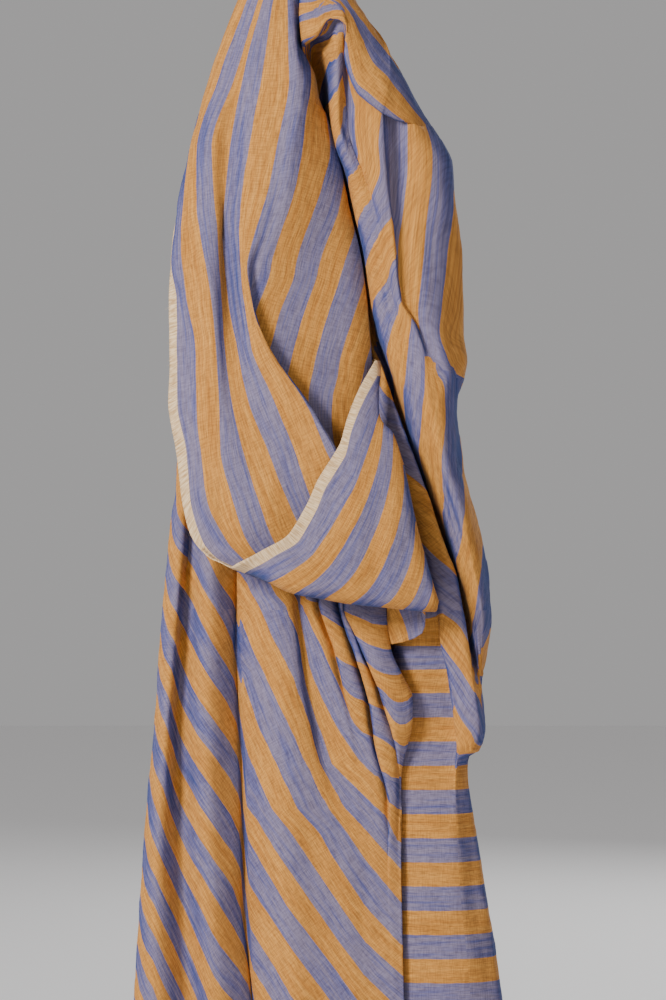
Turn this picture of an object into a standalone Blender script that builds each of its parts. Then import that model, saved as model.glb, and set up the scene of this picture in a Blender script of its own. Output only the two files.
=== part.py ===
"""A cut length of striped linen, hung from one gathered point.

One sheet of cloth makes a cowl in front, whose lip folds outwards as a flap,
and then goes on round the right side, the back and the left side as a long skirt.
Each row of the tables is one line down the cloth, such as a fold's lip or the
bottom of a valley. A row gives (drop below the hang point, x, y) in millimetres.
"""
import bpy
import bmesh
import numpy as np

MM = 0.001
THICKNESS = 1.2
CREASE_ROLL = 14.0         # how far up the cloth the round of the lower crease reaches
TURN_BACK = 5.0            # how far the cloth turns back behind the flap's ridge
LIP_DROP = 446.0           # drop of the flap's pointed corner
HEM_DROP = 770.0
BODY_ROWS = 27             # rows from the hang point to the crease
FLAP_ROWS = 8              # rows from the crease up to the ridge
HEM_ROWS = 15              # rows from the corner's height to the hem
FLAP_BULGE = 0.115         # how far the flap's lines bow, as a share of their length

# Each row: name, strips to the next line, (drop, x, y) ...
COWL = (
    ("selvedge", 1, (
        (0, -20, 6), (40, -31, 9), (95, -50, 10), (140, -64, 7), (177, -75, 2), (205, -82, -3),
        (240, -85, -8), (287, -84.5, -12), (307, -85, -13), (340, -80, -15), (373, -76, -18),
        (395, -70.5, -24), (409, -60, -33), (417, -43, -44))),
    ("first warp", 2, (
        (0, -22, 2), (40, -35, 4), (95, -55, 4), (140, -70, 0), (177, -79, -5), (214, -83, -9),
        (240, -80, -12), (307, -79, -17), (340, -73, -19), (373, -70, -22), (400, -62, -27),
        (412, -52, -31), (421, -34, -37))),
    ("left roll", 2, (
        (0, -20, -3), (40, -39, -3), (95, -59, -3), (140, -71, -7), (167, -75, -9), (197, -77, -13),
        (243, -73, -20), (273, -67.5, -22), (307, -66, -24), (340, -63.5, -25), (373, -59, -27),
        (400, -46, -31), (415, -32, -36), (427, -18.5, -42))),
    ("left crest", 2, (
        (0, -17, -7), (40, -33, -9), (95, -52, -13), (140, -66, -15), (177, -66, -20), (197, -63.5, -25),
        (243, -55.5, -30), (307, -51, -31), (340, -50, -31), (373, -42, -31), (400, -32.5, -32),
        (420, -16, -37), (434, -2.5, -45))),
    ("valley side", 1, (
        (0, -12.5, -10), (40, -25, -13), (95, -42, -20), (140, -56, -24), (167, -55, -26),
        (197, -52.5, -27), (243, -50, -26), (273, -47.5, -27), (307, -43, -29), (340, -35.5, -33),
        (373, -25, -33), (400, -15, -33), (425, 5, -38), (438, 18, -46))),
    ("valley", 2, (
        (0, -8.5, -11.5), (40, -21.5, -15), (95, -36, -23), (140, -44, -22), (167, -46.5, -21),
        (197, -49, -20), (243, -45, -22), (273, -39, -27), (307, -32, -32), (340, -19, -34),
        (373, -6, -34), (410, 12, -35), (441, 35, -46))),
    ("lip's shoulder", 2, (
        (0, -4, -12.5), (40, -15, -17), (95, -23, -28), (140, -31, -32), (197, -38, -34),
        (243, -34, -35),
        (273, -29.5, -37), (307, -15, -37), (340, -1.5, -36), (373, 10, -35), (410, 30, -36),
        (443, 55, -46))),
    ("tuck lip", 1, (
        (0, 0, -13), (40, -6, -18), (95, -5, -32), (140, -13, -37), (167, -18, -37.5), (197, -27, -37.5),
        (220, -32.5, -38), (243, -29, -38), (273, -18, -40), (307, 6, -41), (340, 27, -41),
        (373, 47, -39), (410, 66, -38), (446, 91, -45))),
)
TUCK = (
    ("inside the tuck", 1, (
        (0, 3, -13), (40, 0, -18), (95, 1, -33), (140, -7, -38), (167, -11, -38.5), (197, -20, -36.5),
        (220, -28.5, -33), (243, -31, -30.5), (273, -29, -29), (307, -19, -29.5), (340, -4, -29.5),
        (373, 16, -29), (410, 40, -29), (440, 68, -34))),
    ("out of the tuck", 3, (
        (0, 6, -13), (40, 6, -18), (95, 7, -33), (140, -1, -38), (167, -4, -38), (197, -12, -36.5),
        (220, -22, -33), (243, -23, -30), (273, -15, -27.5), (307, 7, -26.5), (340, 27, -25.5),
        (373, 46, -24.5), (410, 64, -25), (440, 84, -29))),
    ("panel's edge", 1, (
        (0, 15, -10), (40, 13, -14), (95, 18.5, -18), (140, 27, -17), (177, 34, -17), (215, 42.5, -16),
        (260, 47.5, -16), (287, 49.5, -13), (307, 45, -16), (340, 44, -17), (373, 56, -16),
        (410, 72, -16),
        (440, 88, -20))),
)
SKIRT = (
    ("inner end", 1, (
        (0, 14, -5.5), (40, 10, -8), (95, 12, -8), (177, 28, -7), (247, 40.5, -6), (287, 43, -5),
        (340, 38, -7), (373, 50, -6), (410, 66, -6), (446, 80, -8), (466, 64, 5), (500, 62, 9),
        (770, 64, 9))),
    ("right panel's edge", 1, (
        (0, 10.5, -3), (40, 6, -5), (95, 8, -4), (177, 24, -3), (247, 37, -1), (287, 46, 0),
        (307, 47, -5), (340, 53, -9), (373, 67, -10), (410, 78, -10), (446, 88, -10), (462, 73, -5),
        (500, 73, -4), (546, 70.5, -3), (609, 72.5, -1), (707, 74, 1), (770, 75, 2))),
    ("under the ridge", 2, (
        (0, 7.5, -0.5), (40, 3, -1), (95, 6, 0), (177, 22, 1), (247, 36.5, 2), (287, 51, -2),
        (307, 57, -11), (340, 66, -18), (373, 79, -20), (410, 89, -20), (446, 97, -19), (462, 95, -13),
        (488, 101, -12), (521, 105, -10), (541, 107, -7), (560, 106, -4), (609, 107, -2), (707, 116, 0),
        (770, 121, 2))),
    ("gap's left lip", 1, (
        (0, 7.5, 2), (40, 2, 3), (95, 7, 4), (140, 16, 5), (177, 23, 5), (215, 32, 4), (247, 37.5, 5.5),
        (267, 48, -1), (287, 57, -9), (317, 68, -17), (338, 75, -20), (373, 89, -21), (397, 95.5, -21),
        (415, 102, -21), (433, 107.5, -21), (453, 111, -21), (475, 114, -20), (500, 117, -19),
        (524, 119.5, -16), (538, 116.5, -12), (549, 110, -3), (609, 112, 2), (707, 124, 4),
        (770, 130, 6))),
    ("bottom of the gap", 1, (
        (0, 10, 4), (40, 5, 9), (95, 10, 10), (140, 20, 10), (177, 28, 9.5), (247, 43, 10.5),
        (287, 55, 8), (338, 68, 6), (373, 83, 6), (415, 98, 5), (453, 108, 2), (475, 113, -4),
        (500, 119, -14), (524, 122, -13), (538, 119, -9), (549, 112.5, 0), (609, 115, 5), (707, 128, 7),
        (770, 135, 9))),
    ("gap's right wall", 1, (
        (0, 14, 3.5), (40, 9, 7), (95, 16, 6), (140, 26, 4), (177, 35, 3.5), (247, 48.5, 5),
        (287, 61, 4), (338, 74, 2), (373, 89, 2), (415, 103, 1), (453, 112.5, -2), (475, 116.5, -6),
        (500, 121, -10), (524, 123.5, -9), (538, 121, -6), (549, 114.5, 3), (609, 118, 8),
        (707, 132, 10),
        (770, 139, 12))),
    ("rolled edge", 2, (
        (0, 18, 1), (40, 17, -8), (70, 22, -18), (95, 24.5, -22), (127, 28, -22), (157, 36, -21),
        (180, 42, -20), (215, 48.5, -20), (247, 52.5, -20), (267, 57.5, -20), (295, 65.5, -21),
        (317, 73.5, -22), (338, 80, -23), (373, 94, -23), (397, 101, -23), (415, 107, -22),
        (433, 112, -21), (453, 116, -18), (475, 119, -14), (500, 122, -6), (524, 124.5, -5),
        (538, 122, -3), (549, 116, 6), (609, 120.5, 11), (707, 135, 13), (770, 142, 15))),
    ("right crest", 2, (
        (0, 21, 1), (30, 25, -10), (50, 35, -20), (80, 46, -30), (110, 55, -34), (150, 62, -33),
        (200, 68, -32), (250, 71, -33), (280, 78, -36), (300, 82, -34), (338, 91, -34), (373, 101, -34),
        (415, 113, -30), (453, 121, -22), (480, 122.5, -12), (500, 122.5, -3), (524, 125, -1),
        (538, 122.5, 1), (549, 117, 9), (609, 121.5, 15), (707, 136.5, 17), (770, 144, 19))),
    ("right shoulder", 2, (
        (0, 23, 2), (30, 30, -6), (50, 43, -12), (80, 58, -20), (110, 73, -24), (150, 88, -24),
        (200, 91, -24), (250, 94, -24), (280, 98, -26), (300, 95, -25), (338, 101, -24), (373, 109, -24),
        (415, 119.5, -20), (453, 126, -12), (480, 124.5, -4), (500, 122.5, 1), (524, 125.5, 4),
        (538, 122.5, 6), (549, 117, 13), (609, 122, 19), (707, 137.5, 22), (770, 145.5, 24))),
    ("right side", 2, (
        (0, 24, 5), (20, 30, 0), (40, 38, -2), (63, 52.5, -4), (81, 64.5, -5), (103, 76, -6),
        (121, 87, -6), (136, 97, -6), (153, 102.5, -5), (171, 104, -5), (197, 108.5, -5),
        (260, 110.5, -5),
        (278, 112.5, -7), (295, 109.5, -5), (306, 106, -4), (316, 105.5, -4), (335, 108.5, -4),
        (363, 112, -4), (393, 121, -4), (407, 124, -4), (424, 127, -3), (453, 128.5, 0), (471, 127, 3),
        (484, 124.5, 5), (499, 121, 7), (511, 122, 10), (524, 125.3, 12), (531, 124.5, 13),
        (538, 121, 15), (549, 114.5, 20), (577, 117, 24), (609, 121, 27), (653, 128.5, 30),
        (707, 137, 33),
        (770, 146, 36))),
    ("back, right fold", 2, (
        (0, 18, 13), (40, 30, 18), (95, 52, 28), (150, 76, 36), (250, 84, 44), (350, 84, 46),
        (450, 92, 50), (600, 92, 58), (770, 104, 64))),
    ("back, right valley", 2, (
        (0, 10, 12), (40, 18, 17), (95, 30, 28), (150, 44, 34), (250, 52, 36), (350, 52, 38),
        (450, 56, 42), (600, 58, 48), (770, 66, 52))),
    ("back, middle fold", 2, (
        (0, 4, 18), (40, 8, 28), (95, 12, 42), (150, 16, 50), (250, 20, 58), (350, 22, 62),
        (450, 22, 66), (600, 22, 72), (770, 26, 80))),
    ("back, left valley", 2, (
        (0, -3, 13), (40, -4, 20), (95, -8, 30), (150, -10, 36), (250, -14, 42), (350, -14, 44),
        (450, -16, 48), (600, -16, 54), (770, -16, 60))),
    ("back, left fold", 2, (
        (0, -12, 15), (40, -20, 23), (95, -32, 34), (150, -42, 42), (250, -50, 50), (350, -54, 54),
        (450, -58, 58), (600, -62, 64), (770, -68, 70))),
    ("left side", 2, (
        (0, -24, 11), (40, -37, 17), (95, -55, 18), (150, -69, 18), (214, -77, 17), (300, -78, 16),
        (365, -80, 15), (385, -83, 15), (415, -86, 15), (448, -89.3, 15), (484, -92, 16), (520, -94, 16),
        (557, -98, 17), (609, -102, 18), (660, -105.5, 19), (707, -108, 20), (770, -112, 22))),
    ("left panel", 2, (
        (0, -19, 9.5), (40, -30, 13.5), (95, -46, 14), (150, -60, 13), (214, -68, 12), (300, -71, 10),
        (365, -75, 8), (415, -78, 4), (484, -84, 2), (557, -89, 1), (609, -92, 1), (707, -93, 2),
        (770, -94, 4))),
    ("left valley", 1, (
        (0, -16, 9), (40, -26, 13), (95, -40, 15), (150, -52, 15), (214, -60, 15), (300, -64, 15),
        (365, -69, 15), (405, -73, 15), (477, -77, 15), (520, -79.5, 16), (640, -77.5, 17),
        (707, -73, 18),
        (770, -69, 20))),
    ("left front crest", 2, (
        (0, -13, 7.5), (40, -20, 11), (95, -31, 11), (150, -40, 9), (214, -47, 6), (300, -52, 3),
        (365, -56, 0), (415, -58, -3), (477, -60, -5), (520, -60, -5), (640, -58, -4), (707, -54, -3),
        (770, -50, -2))),
    ("deep crease", 1, (
        (0, -8, 8.5), (40, -10, 12), (95, -15, 15), (150, -22, 16), (214, -28, 15), (300, -34, 14),
        (365, -38, 12), (419, -40, 11), (448, -40.5, 11), (491, -39.5, 12), (535, -37, 12),
        (609, -35.5, 13),
        (660, -34, 14), (707, -29.5, 15), (770, -25, 16))),
    ("centre crest", 2, (
        (0, -3, 8.5), (40, -3, 11), (95, -4, 10), (150, -8, 8), (214, -10, 5), (300, -12, 2),
        (365, -16, -4), (415, -18, -9), (448, -18, -11), (491, -14, -11), (535, -10, -10), (609, -8, -9),
        (707, -4, -7), (770, 0, -5))),
    ("puff's left valley", 1, (
        (0, 0, 8), (40, 1, 12.5), (95, 2, 14), (150, 3, 13), (214, 5, 12), (300, 8, 8), (365, 10, 4),
        (415, 8, -2), (441, 6, -6), (491, 10, -6), (549, 18, -6), (609, 22, -7), (707, 26, -5),
        (770, 29, -3))),
    ("puff's crest", 2, (
        (0, 2, 7.5), (40, 4, 12.5), (95, 6, 14), (150, 10, 13), (214, 14, 12), (300, 20, 9),
        (365, 26, 2),
        (415, 30, -8), (441, 30, -14), (475, 34, -16), (520, 42, -14), (560, 46, -10), (609, 45, -6),
        (707, 47, -4), (770, 49, -2))),
    ("puff's right edge", 1, (
        (0, 4, 7), (40, 8, 13), (95, 10, 15), (150, 16, 15), (214, 22, 15), (300, 30, 13), (365, 40, 8),
        (415, 50, -2), (441, 55, -9), (467, 61, -11), (486, 67, -12), (497, 75.5, -12), (511, 77, -12),
        (527, 76, -11), (544, 71, -8), (560, 68.5, -6), (609, 69, -5), (707, 71, -3), (770, 72, -1))),
    ("outer end", 0, (
        (0, 4, 9.5), (40, 8, 15.5), (95, 11, 18), (150, 18, 18), (214, 25, 18), (300, 34, 16),
        (365, 42, 15),
        (415, 48, 12), (441, 48, 9), (497, 56, 8), (544, 55, 9), (609, 54, 10), (707, 56, 12),
        (770, 57, 14))),
)
# The flap's ridge, where each of the cowl's lines ends. A row is the drop, x and y there,
# how far the line stands out in front of the crease, and how far it turns back sideways.
RIDGE = (
    (281, 51.5, -21, 16, 3), (291, 53, -25, 21, 2), (316, 54, -34, 19, -2), (323, 57, -37, 17, -4),
    (329, 63, -38, 15, -5), (350, 70, -42, 13, -6), (387, 78, -46, 11, -6), (437, 92, -47, 9, -6),
)
SELVEDGE_BOW = (0.0, 0.55, 1.0, 0.92, 0.72, 0.70, 0.35, 0.12, 0.0)


def smooth_through(heights, knots):
    """Values at the heights on a curve that never swings past its knots."""
    knots = np.array(knots, dtype=float)
    drop = knots[:, 0]
    step = np.diff(drop)
    out = []
    for column in (1, 2):
        value = knots[:, column]
        slope = np.diff(value) / step
        tangent = np.zeros(len(value))
        tangent[0] = slope[0]
        tangent[-1] = slope[-1]
        product = slope[:-1] * slope[1:]
        both = np.where(product > 0, slope[:-1] + slope[1:], 1)
        tangent[1:-1] = np.where(product > 0, 2 * product / both, 0)
        place = np.clip(np.searchsorted(drop, heights, side="right") - 1, 0, len(step) - 1)
        t = np.clip((heights - drop[place]) / step[place], 0, 1)
        out.append(
            value[place] * (2 * t**3 - 3 * t**2 + 1)
            + tangent[place] * step[place] * (t**3 - 2 * t**2 + t)
            + value[place + 1] * (3 * t**2 - 2 * t**3)
            + tangent[place + 1] * step[place] * (t**3 - t**2))
    return np.stack([out[0], out[1], -heights], axis=1)


def spread(lines, strips):
    """Fill in the strips between lines with a spline that goes through every line."""
    lines = np.array(lines)
    filled = []
    last = len(lines) - 1
    for i in range(last):
        before = lines[max(i - 1, 0)]
        here = lines[i]
        there = lines[i + 1]
        after = lines[min(i + 2, last)]
        for part in range(strips[i]):
            t = part / strips[i]
            gap = np.linalg.norm(there - here, axis=1)[:, None]
            gap_before = np.linalg.norm(here - before, axis=1)[:, None] + 0.01
            gap_after = np.linalg.norm(after - there, axis=1)[:, None] + 0.01
            leave = (there - before) / (gap + gap_before) * gap
            arrive = (after - here) / (gap + gap_after) * gap
            if i == 0:
                leave = there - here
            if i + 1 == last:
                arrive = there - here
            filled.append(
                here * (2 * t**3 - 3 * t**2 + 1) + leave * (t**3 - 2 * t**2 + t)
                + there * (3 * t**2 - 2 * t**3) + arrive * (t**3 - t**2))
    filled.append(lines[last])
    return np.array(filled)


def body_heights(bottom):
    """Drops of the rows from the hang point to the crease, closer together at the crease."""
    even = np.linspace(0, 1, BODY_ROWS)
    return bottom * (1 - (1 - even) ** 1.35)


def flap_line(crease, ridge):
    """One line of the flap, from the crease up to the ridge, bowed like the selvedge."""
    drop, x, y, stand_out, turn = ridge
    along = np.linspace(0, 1, FLAP_ROWS + 1)[1:] ** 1.25
    start = np.array(crease)
    end = np.array((x, y, -drop))
    chord = end - start
    length = np.hypot(chord[0], chord[2])
    side = np.array((chord[2], 0, -chord[0])) / length
    bow = np.interp(along, np.linspace(0, 1, len(SELVEDGE_BOW)), SELVEDGE_BOW)
    points = start + along[:, None] * chord + (bow * FLAP_BULGE * length)[:, None] * side
    rise = np.clip(along * length / CREASE_ROLL, 0, 1)
    points[:, 1] -= stand_out * np.sqrt(1 - (1 - rise) ** 2) * (1 - along**4)
    under = points[-1] + np.array((turn, TURN_BACK, 0))
    return np.vstack([points, under])


def cloth_grid():
    """Body, flap and hem points as three grids, columns first."""
    heights = body_heights(LIP_DROP)
    below = np.linspace(LIP_DROP, HEM_DROP, HEM_ROWS + 1)[1:]
    lines = [smooth_through(body_heights(row[2][-1][0]), row[2]) for row in COWL + TUCK]
    lines += [smooth_through(heights, row[2]) for row in SKIRT]
    strips = [row[1] for row in COWL + TUCK + SKIRT]
    body = spread(lines, strips)
    flap_strips = [row[1] for row in COWL]
    flaps = [flap_line(lines[i][-1], RIDGE[i]) for i in range(len(COWL))]
    flap = spread(flaps, flap_strips)
    hem = spread([smooth_through(below, row[2]) for row in SKIRT], [row[1] for row in SKIRT])
    return body, flap, hem


def add_grid(mesh, grid):
    """Vertices and faces of one grid."""
    vertices = [[mesh.verts.new(point * MM) for point in column] for column in grid]
    for left, right in zip(vertices[:-1], vertices[1:]):
        for row in range(len(left) - 1):
            mesh.faces.new((left[row], left[row + 1], right[row + 1], right[row]))


def linen_cloth():
    """The whole cloth as one sheet, given its thickness by Solidify."""
    body, flap, hem = cloth_grid()
    flap = np.concatenate([body[:len(flap), -1:], flap], axis=1)
    hem = np.concatenate([body[-len(hem):, -1:], hem], axis=1)
    mesh = bmesh.new()
    for grid in (body, flap, hem):
        add_grid(mesh, grid)
    bmesh.ops.remove_doubles(mesh, verts=mesh.verts, dist=0.00002)
    data = bpy.data.meshes.new("linen_cloth")
    mesh.to_mesh(data)
    mesh.free()
    data.shade_smooth()
    cloth = bpy.data.objects.new("linen_cloth", data)
    bpy.context.collection.objects.link(cloth)
    thick = cloth.modifiers.new("Thickness", "SOLIDIFY")
    thick.thickness = THICKNESS * MM
    thick.offset = 0
    thick.use_quality_normals = True
    data.materials.append(linen_material())
    return cloth


def linen_material():
    """Soft yarn-dyed linen."""
    linen = bpy.data.materials.new("Linen")
    linen.use_nodes = True
    shader = linen.node_tree.nodes["Principled BSDF"]
    shader.inputs["Base Color"].default_value = (0.42, 0.25, 0.12, 1)
    shader.inputs["Roughness"].default_value = 0.9
    shader.inputs["Metallic"].default_value = 0
    return linen


for old in list(bpy.data.objects):
    bpy.data.objects.remove(old)
linen_cloth()
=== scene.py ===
# %% [markdown]
# # A length of striped linen, hung from one point
# The imported model is loaded first. It gives the frame that everything is made in:
# metres, +Z up, with the hang point at the origin.

# %% Load the imported model
import math

import bpy
import bmesh
import numpy as np
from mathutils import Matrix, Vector, noise


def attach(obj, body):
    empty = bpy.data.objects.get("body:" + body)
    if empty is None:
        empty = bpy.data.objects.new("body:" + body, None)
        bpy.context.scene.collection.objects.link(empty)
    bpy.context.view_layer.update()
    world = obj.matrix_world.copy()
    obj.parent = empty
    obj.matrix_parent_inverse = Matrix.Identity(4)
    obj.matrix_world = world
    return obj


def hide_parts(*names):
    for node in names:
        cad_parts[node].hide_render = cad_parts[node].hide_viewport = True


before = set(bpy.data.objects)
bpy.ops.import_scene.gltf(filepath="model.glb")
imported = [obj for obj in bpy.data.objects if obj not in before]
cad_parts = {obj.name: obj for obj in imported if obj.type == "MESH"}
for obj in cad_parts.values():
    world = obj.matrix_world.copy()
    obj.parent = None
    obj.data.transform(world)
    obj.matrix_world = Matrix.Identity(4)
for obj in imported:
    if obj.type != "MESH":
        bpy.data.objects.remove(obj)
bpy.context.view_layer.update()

CLOTH_NODE = "linen_cloth"
print("packed nodes:", sorted(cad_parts))

# %% [markdown]
# ## How the cloth is described
# Hung cloth is easiest to describe by the lines that run down it: the lip of each
# fold, the bottom of each valley and each edge. Every row below is one such line.
# It gives, at a few drops below the hang point, where the line is (x, y in
# millimetres) and which stripe it is on. Stripes are counted from the selvedge,
# and each is 16 mm wide: 0 to 1 is blue, 1 to 2 is ochre, and so on. The places
# and stripes were read from enlarged views of the photograph and written in
# millimetres, and what the photograph doesn't show is a guess.
# The first table is the cowl that hangs in front, from its selvedge to the lip
# of the tuck. These lines also carry the flap, the part of the cowl that is
# folded outwards. The second table goes on behind that lip.

# %% The cowl, line by line
# name, (drop, x, y, stripe) ...
COWL = (
    ("selvedge", (
        (0, -20, 6, -.4), (40, -31, 9, -.4), (95, -50, 10, -.4), (140, -64, 7, -.4), (177, -75, 2, -.4),
        (205, -82, -3, -.4), (240, -85, -8, -.4), (287, -84.5, -12, -.4), (307, -85, -13, -.4),
        (340, -80, -15, -.4), (373, -76, -18, -.4), (395, -70.5, -24, -.4), (409, -60, -33, -.4),
        (417, -43, -44, -.4))),
    ("first warp", (
        (0, -22, 2, 0), (40, -35, 4, 0), (95, -55, 4, 0), (140, -70, 0, 0), (177, -79, -5, 0),
        (214, -83, -9, 0), (240, -80, -12, 0), (307, -79, -17, 0), (340, -73, -19, 0), (373, -70, -22, 0),
        (400, -62, -27, 0), (412, -52, -31, 0), (421, -34, -37, 0))),
    ("left roll", (
        (0, -20, -3, 1), (40, -39, -3, 1), (95, -59, -3, 1), (140, -71, -7, 1), (167, -75, -9, 1),
        (197, -77, -13, 1), (243, -73, -20, 1), (273, -67.5, -22, 1), (307, -66, -24, 1),
        (340, -63.5, -25, 1), (373, -59, -27, 1), (400, -46, -31, 1), (415, -32, -36, 1),
        (427, -18.5, -42, 1))),
    ("left crest", (
        (0, -17, -7, 2), (40, -33, -9, 2), (95, -52, -13, 2), (140, -66, -15, 2), (177, -66, -20, 2),
        (197, -63.5, -25, 2), (243, -55.5, -30, 2), (307, -51, -31, 2), (340, -50, -31, 2),
        (373, -42, -31, 2), (400, -32.5, -32, 2), (420, -16, -37, 2), (434, -2.5, -45, 2))),
    ("valley side", (
        (0, -12.5, -10, 3), (40, -25, -13, 3), (95, -42, -20, 3), (140, -56, -24, 3), (167, -55, -26, 3),
        (197, -52.5, -27, 3), (243, -50, -26, 3), (273, -47.5, -27, 3), (307, -43, -29, 3),
        (340, -35.5, -33, 3), (373, -25, -33, 3), (400, -15, -33, 3), (425, 5, -38, 3), (438, 18, -46, 3))),
    ("valley", (
        (0, -8.5, -11.5, 4), (40, -21.5, -15, 4), (95, -36, -23, 4), (140, -44, -22, 4),
        (167, -46.5, -21, 4), (197, -49, -20, 4), (243, -45, -22, 4), (273, -39, -27, 4),
        (307, -32, -32, 4), (340, -19, -34, 4), (373, -6, -34, 4), (410, 12, -35, 4), (441, 35, -46, 4))),
    ("lip's shoulder", (
        (0, -4, -12.5, 5), (40, -15, -17, 5), (95, -23, -28, 5), (140, -31, -32, 5), (197, -38, -34, 5),
        (243, -34, -35, 5), (273, -29.5, -37, 5), (307, -15, -37, 5), (340, -1.5, -36, 5),
        (373, 10, -35, 5), (410, 30, -36, 5), (443, 55, -46, 5))),
    ("tuck lip", (
        (0, 0, -13, 6), (40, -6, -18, 6), (95, -5, -32, 6), (140, -13, -37, 6), (167, -18, -37.5, 6),
        (197, -27, -37.5, 6), (220, -32.5, -38, 6), (243, -29, -38, 6), (273, -18, -40, 6),
        (307, 6, -41, 6.25), (340, 27, -41, 6.7), (373, 47, -39, 7.0), (410, 66, -38, 7.3),
        (446, 91, -45, 7.7))),
)
TUCK = (
    ("inside the tuck", (
        (0, 3, -13, 6.3), (40, -3, -17, 6.25), (95, 1, -33, 6.4), (140, -7, -38, 6.35),
        (167, -11, -38.5, 6.4), (197, -20, -36.5, 6.4), (220, -28.5, -33, 6.3), (243, -31, -30.5, 6.5),
        (273, -29, -29, 7.1), (307, -19, -29.5, 8), (340, -4, -29.5, 9), (373, 16, -29, 10),
        (410, 52, -29, 10.6), (440, 85, -32, 11.4))),
    ("out of the tuck", (
        (0, 6, -13, 6.6), (40, -1, -15, 6.45), (70, 0, -20, 6.5), (95, 6, -30, 6.8), (140, -1, -38, 6.7),
        (167, -4, -38, 6.8),
        (197, -12, -36.5, 6.9), (220, -22, -33, 6.7), (243, -23, -30, 7.1), (273, -15, -27.5, 8.15),
        (307, 7, -26.5, 9.95), (340, 27, -25.5, 11.1), (373, 46, -24.5, 12), (410, 64, -25, 12),
        (435, 82, -27, 12.35), (461, 83, -23, 12.5))),
    ("panel's edge", (
        (0, 13, -10, 7.6), (30, 4, -11, 6.8), (40, 1, -12, 6.6), (70, 1.5, -13, 6.6), (80, 6, -15, 6.9),
        (93, 12, -16, 7.3), (108, 14.5, -17, 7.5), (119, 19.5, -17, 8.0), (140, 25.5, -17, 8.3),
        (177, 33.5, -17, 9.4),
        (215, 42.5, -16, 10.65), (260, 47.5, -16, 11.7), (287, 49.5, -13, 12.3), (307, 45, -16, 12.4),
        (340, 44, -17, 12.6), (373, 56, -16, 12.8), (410, 62, -14, 13), (440, 59.5, -12.5, 13.2),
        (468, 60.5, -11.5, 13.7))),
)
print("cowl lines:", len(COWL), "and", len(TUCK), "behind its lip")

# %% [markdown]
# ## Where the stripes' edges run
# On the narrow right panel the stripes lie level, so there the stripe count depends
# only on the drop. On the right side and on the fold that arches over the upper
# right, it is worked out from where the edges of the stripes run. A knot can then
# name one of these rules in place of its stripe, so that each edge is given once.

# %% Rules for the stripe at a knot
LEVEL_FROM = 453.3          # drop at which the right panel reaches stripe 14
STRIPE_PITCH = 16.13        # millimetres of drop for each stripe there


def level(x, drop):
    """Stripe count on the right panel, where the stripes lie level."""
    return 14 - (drop - LEVEL_FROM) / STRIPE_PITCH


def shelf(x, drop):
    """The same behind the right side's foot, past four more stripes."""
    return level(x, drop) + 4


# Each stripe's edge on the lower right, as (drop, x), from stripe 21 on.
RIGHT_EDGES = (
    ((240, 62), (267, 61.3), (276.7, 60.3), (290, 56), (310, 45), (340, 30)),
    ((240, 74), (253.6, 74.9), (278, 74.2), (297, 70.8), (310.7, 71.3), (325, 65), (360, 50)),
    ((240, 84), (264, 84), (280.8, 84.5), (299.9, 84.5), (321.6, 81), (340.7, 80.7), (360, 74), (390, 60)),
    ((240, 88), (270, 88), (279.5, 89), (294.4, 96.7), (305.3, 98), (327, 96.7), (362.4, 94.7),
     (382.9, 96.5), (400, 92), (430, 80)),
    ((240, 104), (285, 104), (300, 108), (335, 108.3), (363, 111.5), (370.6, 110.5), (392, 109),
     (412.9, 106), (430, 100), (460, 90)),
    ((240, 124), (363, 124), (400, 122.6), (431, 121.5), (449.8, 117), (459.7, 117), (470, 112)),
    ((240, 140), (400, 134), (440, 131), (457.5, 128), (475, 121.5), (486, 120.5), (495, 118)),
)

# The same for the fold that arches over the upper right.
ARCH_EDGES = (
    ((52, 28), (66, 32), (82, 35), (96, 36.4), (107, 48.3), (117.3, 61), (124, 73.6)),
    ((50.7, 35), (55.3, 37.3), (70.7, 44), (86.3, 48.3), (96, 61), (104.5, 69.3), (114.4, 77.8), (124, 86)),
    ((50, 37.3), (56.3, 42), (65.3, 49.3), (72.7, 55.3), (82, 63.7), (93, 72), (103, 80), (121, 93)),
    ((50, 46), (63, 60), (86, 80), (121, 105)),
)


def stripe_from(edges, first, gap, x, drop):
    """Stripe count at a place, from the edges of the stripes around it."""
    places = [np.interp(drop, *zip(*edge)) for edge in edges]
    places = [places[0] - gap] + places + [places[-1] + 16]
    return float(np.interp(x, places, first + np.arange(len(places))))


def right(x, drop):
    """Stripe count on the right side below its kink."""
    return stripe_from(RIGHT_EDGES, 20, 16, x, drop)


def arch(x, drop):
    """Stripe count on the arching fold."""
    return stripe_from(ARCH_EDGES, 20, 8, x, drop)


print("stripe at the hem of the right panel:", round(level(0, 770), 1))

# %% [markdown]
# ## The skirt
# The same sheet goes on from the cowl's hidden edge: over the narrow right panel,
# round the right side with its arching fold, across the back and up to the left
# side. The upper right has a lip that is turned under, so its lines come in two
# parts, above and below that lip. The back's lines have no stripes yet. They are
# counted on from the sides later.

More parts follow.
